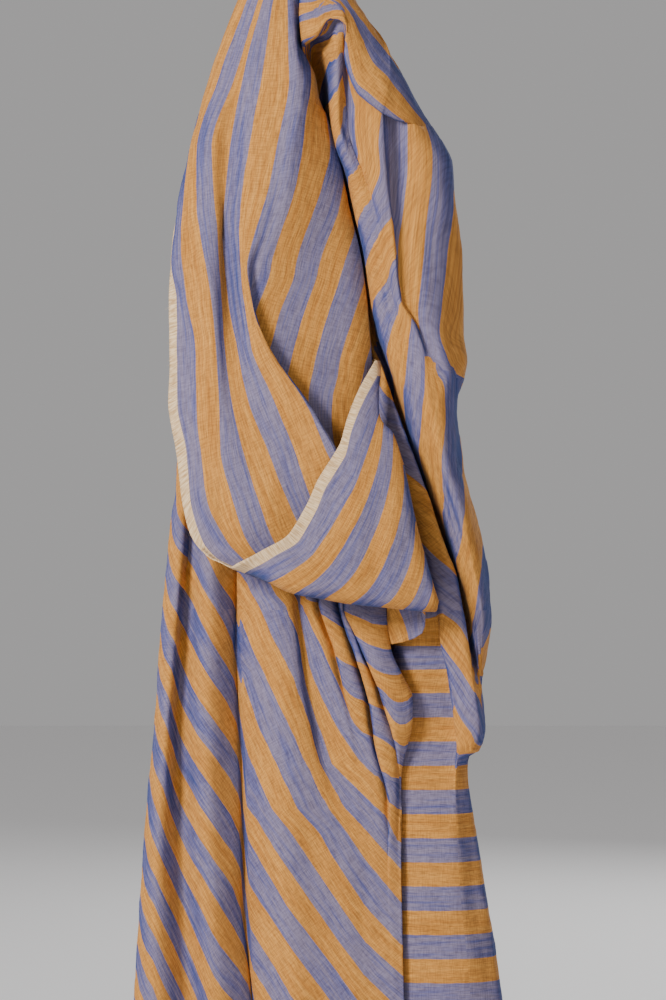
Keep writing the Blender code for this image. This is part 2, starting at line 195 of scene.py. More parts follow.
# %% The skirt, line by line
SKIRT = (
    ("inner end", (
        (0, 11, -7, 8), (40, 1.5, -9, 7), (70, 2, -9, 7), (95, 10, -8, 8), (140, 21, -7, 9),
        (177, 28, -7, 10.2), (247, 40.5, -6, 12),
        (287, 43, -5, 13), (340, 38, -7, 13.5), (373, 50, -6, 13.5), (410, 66, -6, 13.5), (446, 80, -8, 14),
        (466, 64, 5, level), (500, 62, 9, level), (770, 64, 9, level))),
    ("right panel's edge", (
        (0, 9.5, -4, 8.5), (40, 2, -6, 7.5), (95, 8, -4, 8.5), (177, 24, -3, 11), (247, 37, -1, 12.5),
        (287, 46, 0, 15), (307, 47, -5, 16), (340, 53, -9, 15.6), (373, 67, -10, 15), (410, 78, -10, 14.6),
        (446, 88, -10, 14.2), (462, 73, -5, level), (500, 73, -4, level),
        (546, 70.5, -3, level), (609, 72.5, -1, level), (707, 74, 1, level),
        (770, 75, 2, level))),
    ("panel behind the fold", (
        (0, 9, -2, 9), (40, 2.5, -3, 8), (95, 7, -2, 9), (177, 23, -1, 11.5), (247, 36.8, 0.5, 13),
        (287, 48.5, -1, 16), (307, 52, -8, 16.5), (340, 59, -13.5, 16.0), (373, 73, -15, 15.4),
        (410, 83.5, -15, 14.8), (446, 93, -13, 14.1), (462, 95, -6, level), (488, 102.5, -4, level),
        (521, 107, -2, level), (541, 106, -2, level), (560, 104, -3, level),
        (609, 98, -3, level), (707, 106, -1, level), (770, 110, 1, level))),
    ("under the ridge", (
        (0, 7.5, -0.5, 10), (40, 2.7, -1, 9), (95, 6, 0, 9.5), (177, 22, 1, 12), (247, 36.5, 2, 14),
        (287, 51, -2, 17), (307, 57, -11, 16.9), (340, 66, -18, 16.3), (355, 72.5, -19, 16),
        (373, 79, -20, 15.7), (396.7, 86, -20, 15.2), (410, 89, -20, 14.95), (446, 97, -19, 14.1),
        (462, 95, -13, 13.2), (488, 101, -12, 12.5), (509, 104, -11, 12.0), (521, 105, -10, 11.75),
        (541, 107, -7, 11.3), (543.5, 106.6, -4.5, shelf),
        (560, 105.5, -3.5, shelf), (609, 107, -2, shelf),
        (707, 116, 0, shelf), (770, 121, 2, shelf))),
    ("gap's left lip", (
        (0, 7.5, 2, 11), (40, 2, 3, 11), (95, 7, 4, 12), (140, 16, 5, 13), (177, 23, 5, 14.5),
        (215, 32, 4, 16), (247, 37.5, 5.5, 17.5), (267, 48, -1, 17.8), (287, 57, -9, 17.4),
        (308, 64, -15, 17), (338, 75, -20, 16.5), (366.7, 86, -21, 16), (397, 95.5, -21, 15.45),
        (423.7, 105, -21, 15), (453, 111, -21, 14.3), (466.7, 113, -20, 14), (500, 117, -19, 13),
        (524, 119.5, -16, 12.2), (538, 116.5, -12, 11.9),
        (541.5, 113, -12, 11.8), (543.5, 108.2, -4.8, shelf), (549, 106.6, -3, shelf),
        (609, 112, 2, shelf), (707, 124, 4, shelf), (770, 130, 6, shelf))),
    ("bottom of the gap", (
        (0, 10, 4, 12), (40, 5, 9, 12), (95, 10, 10, 13.5), (140, 20, 10, 15), (177, 28, 9.5, 16.3),
        (247, 43, 10.5, 19), (287, 55, 8, 19), (338, 68, 6, 18.5), (373, 83, 6, 18.5), (415, 98, 5, 18.5),
        (453, 108, 2, 16), (475, 113, -4, 14), (490, 117, -10, 13.5), (500, 119, -14, 13.1),
        (524, 122, -13, 12.5),
        (538, 119, -9, 11.9),
        (541.5, 115.5, -9, 11.8), (543.5, 110.7, -1.8, shelf), (549, 109.1, 0, shelf), (609, 115, 5, shelf),
        (707, 128, 7, shelf), (770, 135, 9, shelf))),
    ("gap's right wall", (
        (0, 14, 3.5, 25), (25, 8, -8, 24.8), (40, 3, -16, 24.3), (44, 2.5, -17.5, 24), (53, 2.5, -19, 23),
        (57, 2.5, -20, 22), (70, 3, -20, 21), (72, 3.5, -18, 20.7)), (
        (73, 10, 6, 13.4), (95, 17, 6, 14), (110, 19, 4, 15), (140, 26, 4, 15.6), (177, 35, 3.5, 17),
        (247, 48.5, 5, 19.5), (287, 61, 4, 20.5), (338, 74, 2, 22), (373, 89, 2, 22.8), (415, 103, 1, 24.5),
        (453, 112.5, -2, 25.6), (475, 116.5, -6, 26.3), (490, 119, -8, 26.9), (495, 120, -9, 13.3),
        (524, 123.5, -9, 12.8), (538, 121, -6, 11.9),
        (541.5, 117.5, -6, 11.8), (543.5, 112.7, 1.2, shelf), (549, 111.1, 3, shelf), (609, 118, 8, shelf),
        (707, 132, 10, shelf), (770, 139, 12, shelf))),
    ("rolled edge", (
        (0, 16, 2, 25), (25, 13, -12, 24.8), (40, 11, -22, 24.4), (44, 11, -23.5, 24), (50, 11, -25, 23),
        (54, 11, -26.5, 22.1), (60, 12, -28, 21.6), (66, 13, -28, 21)), (
        (66.5, 20.5, -14, 12.9), (75, 21.5, -18, 13.6), (82.7, 22, -20, 14), (108.7, 22.5, -21, 15),
        (125, 23.5, -21, 15.6), (138, 26, -21, 16), (159, 34, -20.5, 17), (188.7, 41, -20, 18),
        (214, 47, -20, 19), (241, 51, -20, 20), (276.7, 60.3, -20, 21), (310.7, 71.3, -22, 22),
        (340.7, 80.7, -23, 23), (382.9, 96.5, -23, 24), (412.9, 106, -22, 25), (453, 116, -18, 25.9),
        (459.7, 117, -17, 26), (486, 120.5, -10, 27), (495, 121.5, -7, 27.3), (496, 121.6, -7, 13.3),
        (524, 124.5, -5, 12.4), (538, 122, -3, 11.9),
        (541.5, 118.5, -3, 11.8), (543.5, 114.1, 4.2, shelf), (549, 112.6, 6, shelf),
        (609, 120.5, 11, shelf),
        (707, 135, 13, shelf), (770, 142, 15, shelf))),
    ("strip's crest", (
        (0, 18, 1, 25), (25, 18, -13, 24.7), (40, 20, -24, 24.2), (43.5, 20, -25.5, 23.7),
        (46, 20.5, -27, 23),
        (50, 21, -29, 22.1), (55.5, 22, -31, 21.6)), (
        (56, 26, -22, 12.4), (66, 26.5, -25, 13.0), (75, 27, -26, 13.6), (84, 26.8, -27, 14.1),
        (108, 27, -27, 15.2), (125, 27.5, -26.5, 15.8), (138, 31, -26, 16.2), (160, 38.5, -25.5, 17.1),
        (188.7, 45.5, -25, 18.25), (214, 52, -25, 19.3), (242, 57, -25, 20.25), (267, 61.5, -25, 21.0),
        (300, 70, -26, right), (340.7, 83, -26, right),
        (383, 98, -26, right), (413, 107.5, -25, right),
        (453, 117, -20, right), (475, 120, -12, 26.9), (490, 121.5, -8, 27.2),
        (496, 122, -6, 13.25), (524, 124.7, -3, 12.3), (538, 122.2, -1, 11.9),
        (541.5, 118.7, -1, 11.8), (543.5, 114.5, 5.8, shelf), (549, 113.1, 7.5, shelf),
        (609, 121, 13, shelf), (707, 136, 15, shelf), (770, 143, 17, shelf))),
    ("strip's right side", (
        (0, 19.5, 1, 25), (25, 23, -13, 24.6), (40, 27, -23, 24.1), (43, 28, -25, 23.7),
        (45.3, 29, -27, 23),
        (49, 29.5, -30, 22.1), (53, 31, -32, 21.8), (60, 33, -34, 21.4)), (
        (61, 30.5, -24, 12.8), (70, 30.5, -25, 13.4), (84, 30, -25, 14.5), (100, 30, -24, 15.4),
        (110, 30, -23.5, 15.9), (125, 30.5, -23, 16.1), (138, 34, -24, 16.5), (160, 42, -26, 17.2),
        (188, 49.5, -27, 18.45), (214, 55.5, -28, 19.5), (242, 60, -29, 20.35),
        (267, 65.5, -28, right), (300, 73, -29, right),
        (340.7, 85, -28, right), (383, 99.5, -27, right),
        (413, 109, -26, right), (453, 118, -21, right), (475, 121, -13, 27.0),
        (490, 122, -7, 27.2), (496, 122, -5, 13.25), (524, 124.9, -2, 12.3), (538, 122.4, 0, 11.9),
        (541.5, 118.9, 0, 11.8), (543.5, 114.9, 6.8, shelf), (549, 113.6, 8.5, shelf),
        (609, 121.3, 14.5, shelf), (707, 136.3, 16.5, shelf),
        (770, 143.6, 18.5, shelf))),
    ("small valley", (
        (0, 21, 1, 25), (25, 26, -11, 24.5), (40, 32, -19, 23.6), (46, 35.5, -22, 23.1),
        (50, 36, -25, 22.4),
        (56, 37, -29, arch), (64, 35.5, -33, arch), (72, 33.5, -35, arch),
        (80, 31.5, -35, 20.6)), (
        (81, 33, -20, 15.8), (96, 33.3, -20, 16.1), (110, 33.5, -20, 16.3), (130, 35, -21, 16.5),
        (145, 39, -23, 16.8), (160, 45, -26, 17.3), (188, 52, -28, 18.6), (214, 57.5, -29, 19.6),
        (242, 61.5, -30, 20.4), (267, 69, -29, right), (300, 76, -30, right),
        (340.7, 87, -30, right), (383, 101, -29, right),
        (413, 110.5, -27, right), (453, 119, -22, right),
        (475, 121.5, -13, 27.0), (490, 122.5, -6, 27.2), (496, 122.3, -4, 13.2), (524, 125, -1, 12.3),
        (538, 122.5, 1, 11.9),
        (541.5, 119, 1, 11.8), (543.5, 115, 7.8, shelf), (549, 113.6, 9.5, shelf),
        (609, 121.5, 15.5, shelf),
        (707, 136.5, 18, shelf), (770, 144, 20, shelf))),
    ("left of the front lip", (
        (0, 22, 1, 25), (25, 29, -9, 24.2), (40, 36, -14, 23.5), (52, 42, -20, 23.3),
        (60, 44, -24, arch), (70, 44, -30, arch), (80, 42, -35, arch),
        (90, 40, -37, arch), (97, 39, -37.5, arch), (103, 38.7, -36, 20.5)), (
        (104, 38.7, -24, 17.0), (120, 38.5, -25, 17.0), (135, 40, -26, 17.05), (150, 44, -28, 17.2),
        (165, 48.5, -29, 17.75), (188, 54.5, -30, 18.7), (214, 60, -31, 19.75), (242, 63.5, -31, 20.5),
        (267, 73, -31, right), (300, 79.5, -32, right),
        (340.7, 90, -32, right), (383, 103.5, -30, right),
        (413, 112.5, -28, right), (453, 120.5, -22, right),
        (475, 122, -12, 27.1), (490, 122.7, -5, 27.2), (496, 122.5, -3, 13.2), (524, 125.1, 0, 12.3),
        (538, 122.5, 2, 11.9),
        (541.5, 119, 2, 11.8), (543.5, 115, 8.8, shelf), (549, 113.6, 10.5, shelf), (609, 121.7, 17, shelf),
        (707, 136.8, 19.5, shelf), (770, 144.5, 21.5, shelf))),
    ("stripe before the lip", (
        (0, 22.5, 1.5, 25), (25, 31, -7, 24), (40, 37, -9, 23.4), (52, 45, -14, 23.5),
        (62, 50, -19, arch), (70, 51.5, -24, arch), (78, 51, -29, arch),
        (90, 49, -35, arch), (100, 47.5, -37, arch), (105, 47, -37.5, arch),
        (110, 46, -36, 20.5)), (
        (111, 46, -27, 17.45), (130, 46.5, -29, 17.5), (150, 50, -31, 17.6), (165, 53.5, -32, 18.05),
        (188, 57.5, -33, 18.85), (214, 62.5, -33, 19.9), (242, 65.5, -33, 20.75), (253.6, 71.5, -33, 21.5),
        (267, 77, -33, right), (300, 83, -34, right),
        (340.7, 92.5, -34, right), (383, 105, -32, right),
        (413, 114, -29, right), (453, 121.5, -22, right),
        (475, 122.5, -12, 27.1), (490, 123, -5, 27.25), (496, 122.6, -3, 13.2), (524, 125.2, 1, 12.3),
        (538, 122.6, 3, 11.9),
        (541.5, 119.1, 3, 11.8), (543.5, 115, 9.4, shelf), (549, 113.6, 11, shelf), (609, 121.8, 18, shelf),
        (707, 137, 20.5, shelf), (770, 145, 22.5, shelf))),
    ("front lip", (
        (0, 23, 2, 25), (25, 32, -4, 23.9), (40, 37.8, -5, 23.4), (55, 47, -9, 23.5),
        (66, 55, -12, arch), (75, 59, -19, arch), (84, 60, -25, arch),
        (95, 59.5, -31, arch), (105, 58.5, -34, arch), (112, 57, -35, arch),
        (117, 56, -33.5, 20.6)), (
        (118, 56, -30, 18.0), (144, 58, -33, 18.3), (159, 59.5, -33.5, 18.4), (177, 61.3, -34, 18.7),
        (195, 63.5, -34, 19.3), (214, 65, -34, 20.0), (222, 65.5, -34, 20.3), (242, 68.5, -34, 20.95),
        (253.6, 75, -34, 22.0), (264.5, 80, -34, 22.55), (275, 83.5, -34, 22.95),
        (300, 86, -35, right), (340.7, 95, -35, right),
        (383, 107, -33, right), (413, 115.5, -30, right),
        (453, 122.5, -22, right), (475, 123, -11, 27.1), (490, 123.2, -4, 27.25),
        (496, 122.7, -2, 13.2), (524, 125.3, 2, 12.3), (538, 122.6, 4, 11.9),
        (541.5, 119.1, 4, 11.8), (543.5, 115, 10.4, shelf), (549, 113.6, 12, shelf),
        (609, 122, 19, shelf), (707, 137.2, 21.5, shelf), (770, 145.3, 23.5, shelf))),
    ("behind the lip", (
        (0, 23, 2.3, 25), (25, 32.5, -3.5, 23.9), (40, 38, -4.5, 23.4), (55, 48, -8, 23.5),
        (66, 56.5, -11, arch), (75, 60.5, -18, arch), (84, 61.5, -24, arch),
        (95, 61, -30, arch), (105, 60, -33, arch), (112, 58.5, -34, arch),
        (117.6, 57.5, -32.5, 20.6)), (
        (118.5, 57, -24, 20.2), (144, 59, -27, 20.2), (159, 60.5, -27.5, 20.2), (177, 62.3, -28, 20.35),
        (195, 64.5, -28.5, 20.8), (214, 66, -29, 20.95), (222, 66.5, -29.5, 21.0), (242, 70, -30, 21.2),
        (253.6, 76.5, -30, 21.75), (264.5, 81.5, -30.5, 22.05), (276, 85.5, -31, 22.35),
        (279, 86.5, -32.5, 23.4), (300, 89, -34.5, right),
        (340.7, 97.5, -34.5, right), (383, 109, -32.5, right),
        (413, 117, -29, right), (453, 123.5, -21, right),
        (475, 123.3, -10, 27.1), (490, 123.3, -3, 27.25), (496, 122.8, -1, 13.2), (524, 125.4, 3, 12.3),
        (538, 122.6, 5, 11.9),
        (541.5, 119.1, 5, 11.8), (543.5, 115, 11.4, shelf), (549, 113.6, 13, shelf), (609, 122, 20, shelf),
        (707, 137.4, 22.5, shelf), (770, 145.5, 24.5, shelf))),
    ("dark valley", (
        (0, 23.5, 3, 25), (25, 33, -3, 23.9), (40, 38, -3.5, 23.4), (60, 50.5, -6, 23.4),
        (72, 58.5, -9, arch), (82, 64, -14, arch), (90, 67.5, -19, arch),
        (100, 69, -25, arch), (110, 68.5, -29, arch), (118, 67, -30, arch),
        (121.5, 66, -29, 20.8)), (
        (122.5, 66, -19, 20.55), (150, 66.5, -22, 20.6), (177, 68.5, -25, 20.85), (200, 70.5, -27, 21.15),
        (222, 72.5, -29, 21.4), (242, 76, -30, 21.7), (264.5, 83, -30, 22.1), (276, 88.5, -30.5, 22.5),
        (280.8, 90.5, -31, 22.75), (284, 92, -32, 24.2), (300, 94, -33, right),
        (340.7, 100.5, -32, right), (383, 111, -30, right),
        (413, 119, -27, right), (453, 124.7, -18, right),
        (475, 124, -8, 27.15), (490, 123.4, -1, 27.3), (496, 122.6, 1, 13.2), (524, 125.5, 4, 12.3),
        (538, 122.5, 7, 11.9),
        (541.5, 119, 7, 11.8), (543.5, 114.6, 12.6, shelf), (549, 113.1, 14, shelf), (609, 122, 21, shelf),
        (707, 137.5, 23.5, shelf), (770, 145.6, 25.5, shelf))),
    ("right crest", (
        (0, 23.8, 3.5, 25), (20, 30, -1, 24.2), (40, 38, -2.8, 23.4), (60, 50.5, -5, 23.45),
        (75, 60, -6, arch), (85, 66, -9, arch), (93, 71, -14, arch),
        (98, 73, -16, arch), (108, 76, -20, arch), (118, 77.5, -23, arch),
        (124, 78, -24, 21.3)), (
        (125, 78, -24.5, 21.3), (150, 82, -29, 21.5), (177, 84, -30, 21.8), (200, 84, -30, 21.95),
        (222, 83.5, -31, 22.05), (242, 85, -31, 22.3), (267, 92, -32, 22.85), (284.9, 99.4, -32, 22.9),
        (288, 100, -32, 24.25), (300, 100, -30, right),
        (340.7, 103.5, -27, right), (383, 113.5, -26, right),
        (413, 121, -23, right), (453, 126, -13, right),
        (475, 125, -4, 27.2), (490, 123.4, 1, 27.3), (496, 122.4, 3, 13.2), (524, 125.5, 6, 12.35),
        (538, 122.3, 9, 11.9),
        (541.5, 118.8, 9, 11.8), (543.5, 114.2, 14.2, shelf), (549, 112.6, 15.5, shelf),
        (609, 122, 22.5, shelf),
        (707, 137.5, 25.5, shelf), (770, 145.8, 27.5, shelf))),
    ("right shoulder", (
        (0, 24, 4, 25), (20, 30, -0.5, 24.2), (40, 38, -2.4, 23.4), (60, 50.8, -4, 23.45),
        (81, 64, -6, arch), (95, 72.5, -8, arch), (110, 79.5, -12, arch),
        (120, 84, -13, arch), (124, 86, -13.5, 22.05)), (
        (125, 86.5, -14, 22.08), (136, 92, -19, 22.3), (150, 96, -23, 22.5), (177, 97.5, -24, 22.65),
        (200, 96.5, -24, 22.8), (222, 96, -24, 22.9), (243, 97, -24, 23.1), (267, 102, -25, 23.5),
        (280, 106, -24, 23.5), (288.5, 105.5, -22, 23.2), (291.5, 105, -21, 24.7),
        (300, 104.5, -20, right), (340.7, 106.5, -18, right),
        (383, 116.2, -18, right), (413, 123.5, -14, right),
        (453, 127.6, -6, right), (475, 126, 0, 27.2), (490, 123.2, 4, 27.3),
        (496, 121.8, 5, 13.2), (524, 125.4, 9, 12.35), (538, 121.8, 12, 11.9),
        (541.5, 118.3, 12, 11.8), (543.5, 113.5, 16.4, shelf), (549, 111.9, 17.5, shelf),
        (609, 121.5, 24.5, shelf), (707, 137.2, 28.5, shelf), (770, 146, 31, shelf))),
    ("right side", (
        (0, 24, 5, 25), (20, 30, 0, 24.2), (40, 38, -2, 23.4), (63, 52.5, -4, 23.35),
        (86, 67.5, -5.5, 23.0),
        (103, 76, -6, 22.85), (121, 87, -6, 22.85), (124, 89, -6, 22.87)), (
        (125, 90, -6, 22.88), (136, 97, -6, 22.9), (147, 101.5, -5.5, 22.93), (160, 103.5, -5, 23.0),
        (171, 104.5, -5, 23.3), (197, 108.5, -5, 23.6), (215, 110, -5, 23.75), (243, 110.5, -5, 23.9),
        (260, 110.5, -5, 23.95), (278, 112.5, -7, 23.95), (290, 110.5, -6, 23.6), (292.5, 110, -6, 25.2),
        (306, 106, -4, 25.0), (316, 105.5, -4, 24.9), (335, 108.5, -4, 25.15), (363, 112, -4, 25.1),
        (393, 121, -4, 25.9), (407, 124, -4, 26.2), (424, 127, -3, 26.6), (453, 128.5, 0, 26.97),
        (471, 127, 3, 27.15), (484, 124.5, 5, 27.3), (490, 122.6, 6, 27.35), (496, 121, 7, 13.2),
        (511, 122, 10, 12.75), (524, 125.3, 12, 12.35), (538, 121, 15, 11.9),
        (541.5, 117.5, 15, 11.8), (543.5, 112.7, 19, shelf), (549, 111.1, 20, shelf),
        (563, 113.5, 22, shelf), (577, 116, 24, shelf), (609, 121, 27, shelf), (653, 128.5, 30, shelf),
        (707, 137, 33, shelf), (770, 146, 36, shelf))),
    ("back, right fold", (
        (0, 18, 13), (40, 30, 18), (95, 52, 28), (150, 76, 36), (250, 84, 44),
        (350, 84, 46), (450, 88, 50), (490, 88, 52), (496, 88, 52.3), (524, 88, 54),
        (545, 88, 55), (560, 89, 56), (600, 92, 58),
        (770, 104, 64))),
    ("back, right valley", (
        (0, 10, 12), (40, 18, 17), (95, 30, 28), (150, 44, 34), (250, 52, 36),
        (350, 52, 38), (450, 56, 42), (560, 57.5, 46), (600, 58, 48),
        (770, 66, 52))),
    ("valley's far wall", (
        (0, 8.5, 14), (40, 15, 18.5), (95, 26.5, 29.5), (150, 39.5, 35.8),
        (250, 47.5, 38.5), (350, 47.5, 41), (450, 51, 45), (600, 53, 51.5),
        (770, 60.5, 56))),
    ("back, middle fold", (
        (0, 4, 18), (40, 8, 28), (95, 12, 42), (150, 16, 50), (250, 20, 58),
        (350, 22, 62), (450, 22, 66), (600, 22, 72), (770, 26, 80))),
    ("back, left valley", (
        (0, -3, 13), (40, -4, 20), (95, -8, 30), (150, -10, 36), (250, -14, 42),
        (350, -14, 44), (450, -16, 48), (600, -16, 54), (770, -16, 60))),
    ("back, left fold", (
        (0, -12, 15), (40, -20, 23), (95, -32, 34), (150, -42, 42),
        (250, -50, 50), (350, -54, 54), (450, -58, 58), (600, -62, 64),
        (770, -68, 70))),
    ("left side", (
        (0, -24, 11, 28.2), (40, -37, 17, 30), (95, -55, 18, 33), (150, -69, 18, 35), (214, -77, 17, 37),
        (300, -78, 16, 38), (365, -80, 15, 38), (385, -83, 15, 37), (408, -85.5, 15, 36),
        (425, -87, 15, 35.2), (445, -89, 15, 34.6), (462, -90.5, 15, 34), (485, -92, 16, 34),
        (526, -94.5, 16, 34.6), (561, -98.2, 17, 35.4), (602, -101.5, 18, 36.4), (639, -104, 18.5, 37.6),
        (673, -106, 19, 38.6), (707, -108, 20, 39.8), (770, -112, 22, 42))),
)
print("skirt lines:", len(SKIRT))

# %% [markdown]
# ## The front panels
# From the left side the sheet comes forward again as long panels with a deep crease
# between them, two small folds and a pillow of cloth, and ends tucked in behind.
# The centre panel's stripes run aslant and bend over its folds. There the edges of
# the stripes are given, and below the flap a stripe counted between them takes the
# place of the one in the table.

# %% The front panels, line by line
# Each stripe's edge on the centre panel, as (drop, x), from stripe 29 down to 16.
CENTRE_EDGES = (
    ((690, -80), (745, -24), (795, 0)),
    ((660, -80), (716.7, -26), (765, 0), (800, 25)),
    ((630, -80), (686.7, -29), (730, -2.5), (775, 29), (800, 49)),
    ((600, -80), (660, -31), (703, -4.3), (745, 28), (772, 49), (800, 72)),
    ((570, -80), (629, -32), (668, -6), (711, 26), (740, 46), (765, 72), (800, 110)),
    ((545, -80), (600, -32.6), (642.7, -7), (685, 25.4), (713, 45), (740, 71.5), (790, 120)),
    ((520, -80), (576, -34.2), (593.4, -21.8), (615, -8), (662, 24.5), (690, 45), (714.7, 71), (760, 120)),
    ((480, -80), (535.2, -35.2), (549.8, -29.1), (578.9, -16), (593.4, -4.3), (635, 23.5), (667, 45),
     (690, 70.5), (740, 125)),
    ((440, -80), (490.1, -36.1), (520.7, -26.2), (549.8, -13.1), (578.9, 0.5), (593.4, 14.6), (609, 23),
     (643, 45), (670, 70), (720, 125)),
    ((400, -80), (452.3, -36.6), (462.4, -33.4), (491.6, -20.3), (520.7, -5.8), (549.8, 7.6), (578.9, 21.9),
     (593.4, 32.8), (613, 46), (641, 69.5), (700, 130)),
    ((433.3, -29.8), (462.4, -16.7), (491.6, -1.4), (520.7, 8), (549.8, 16), (578.9, 32.1), (593.4, 46.6),
     (618.7, 69), (680, 130)),
    ((433.3, -11.6), (462.4, 0.5), (491.6, 4.7), (520.7, 12), (549.8, 23.3), (565, 40), (574.5, 50),
     (580, 56), (584, 60), (592, 63), (599, 66), (603, 71), (660, 135)),
    ((433.3, 0.3), (462.4, 3.7), (491.6, 10.2), (520.7, 24.8), (538, 36), (544, 40), (554, 50), (558, 56),
     (574, 61), (577, 65), (580, 70), (640, 138)),
    ((433.3, -2), (464, 13), (472, 17), (482, 21), (492, 26), (502, 30), (510, 33), (521, 38), (526, 42),
     (529, 46), (531, 50), (533, 52), (552, 57), (554, 58), (557, 62), (559, 68), (620, 140)),
)
# The same on the two small folds and the pillow beside them, as (x, drop). Each entry has
# the lines it lies between and its first stripe count.
FOLD_EDGES = (
    ("small fold's crease", "before the first small fold", 12, (
        ((14, 430), (36, 447)),
        ((14, 447), (20, 451), (25, 454), (31, 459), (36, 464)),
        ((14, 466), (20, 470), (26, 477), (30, 480), (36, 483), (40, 485), (44, 488)),
        ((24, 484), (30, 495), (34, 501), (38, 504), (44, 506), (48, 510), (52, 514)),
        ((24, 490), (33, 510), (38, 521), (42, 526), (46, 529), (50, 531), (54, 533)))),
    ("before the first small fold", "before the second small fold", 12, (
        ((28, 436), (48, 450)),
        ((32, 474), (38, 479), (43, 481), (49, 486), (55, 492)),
        ((44, 506), (48, 508), (52, 510), (57, 512), (62, 516)),
        ((49, 527), (52, 529), (57, 532), (60, 534), (62, 536), (66, 540)),
        ((54, 551), (58, 554), (62, 557), (68, 559)))),
    ("before the second small fold", "puff's right edge", 9, (
        ((31, 446), (36, 449), (44, 452), (50, 455), (58, 456), (64, 456)),
        ((36, 460), (41, 464), (46, 468), (52, 470), (58, 472), (64, 472)),
        ((43, 477), (48, 481), (53, 486), (58, 488), (66, 489), (72, 487)),
        ((54, 496), (58, 500), (61, 504), (66, 507), (72, 507), (78, 502)),
        ((58, 509), (61, 513), (64, 519), (68, 521.5), (73, 521), (77, 517)),
        ((62, 527), (65, 531), (68, 535), (71, 536), (76, 534)),
        ((64, 543), (70, 551)),
        ((66, 552), (70, 559)))),
)
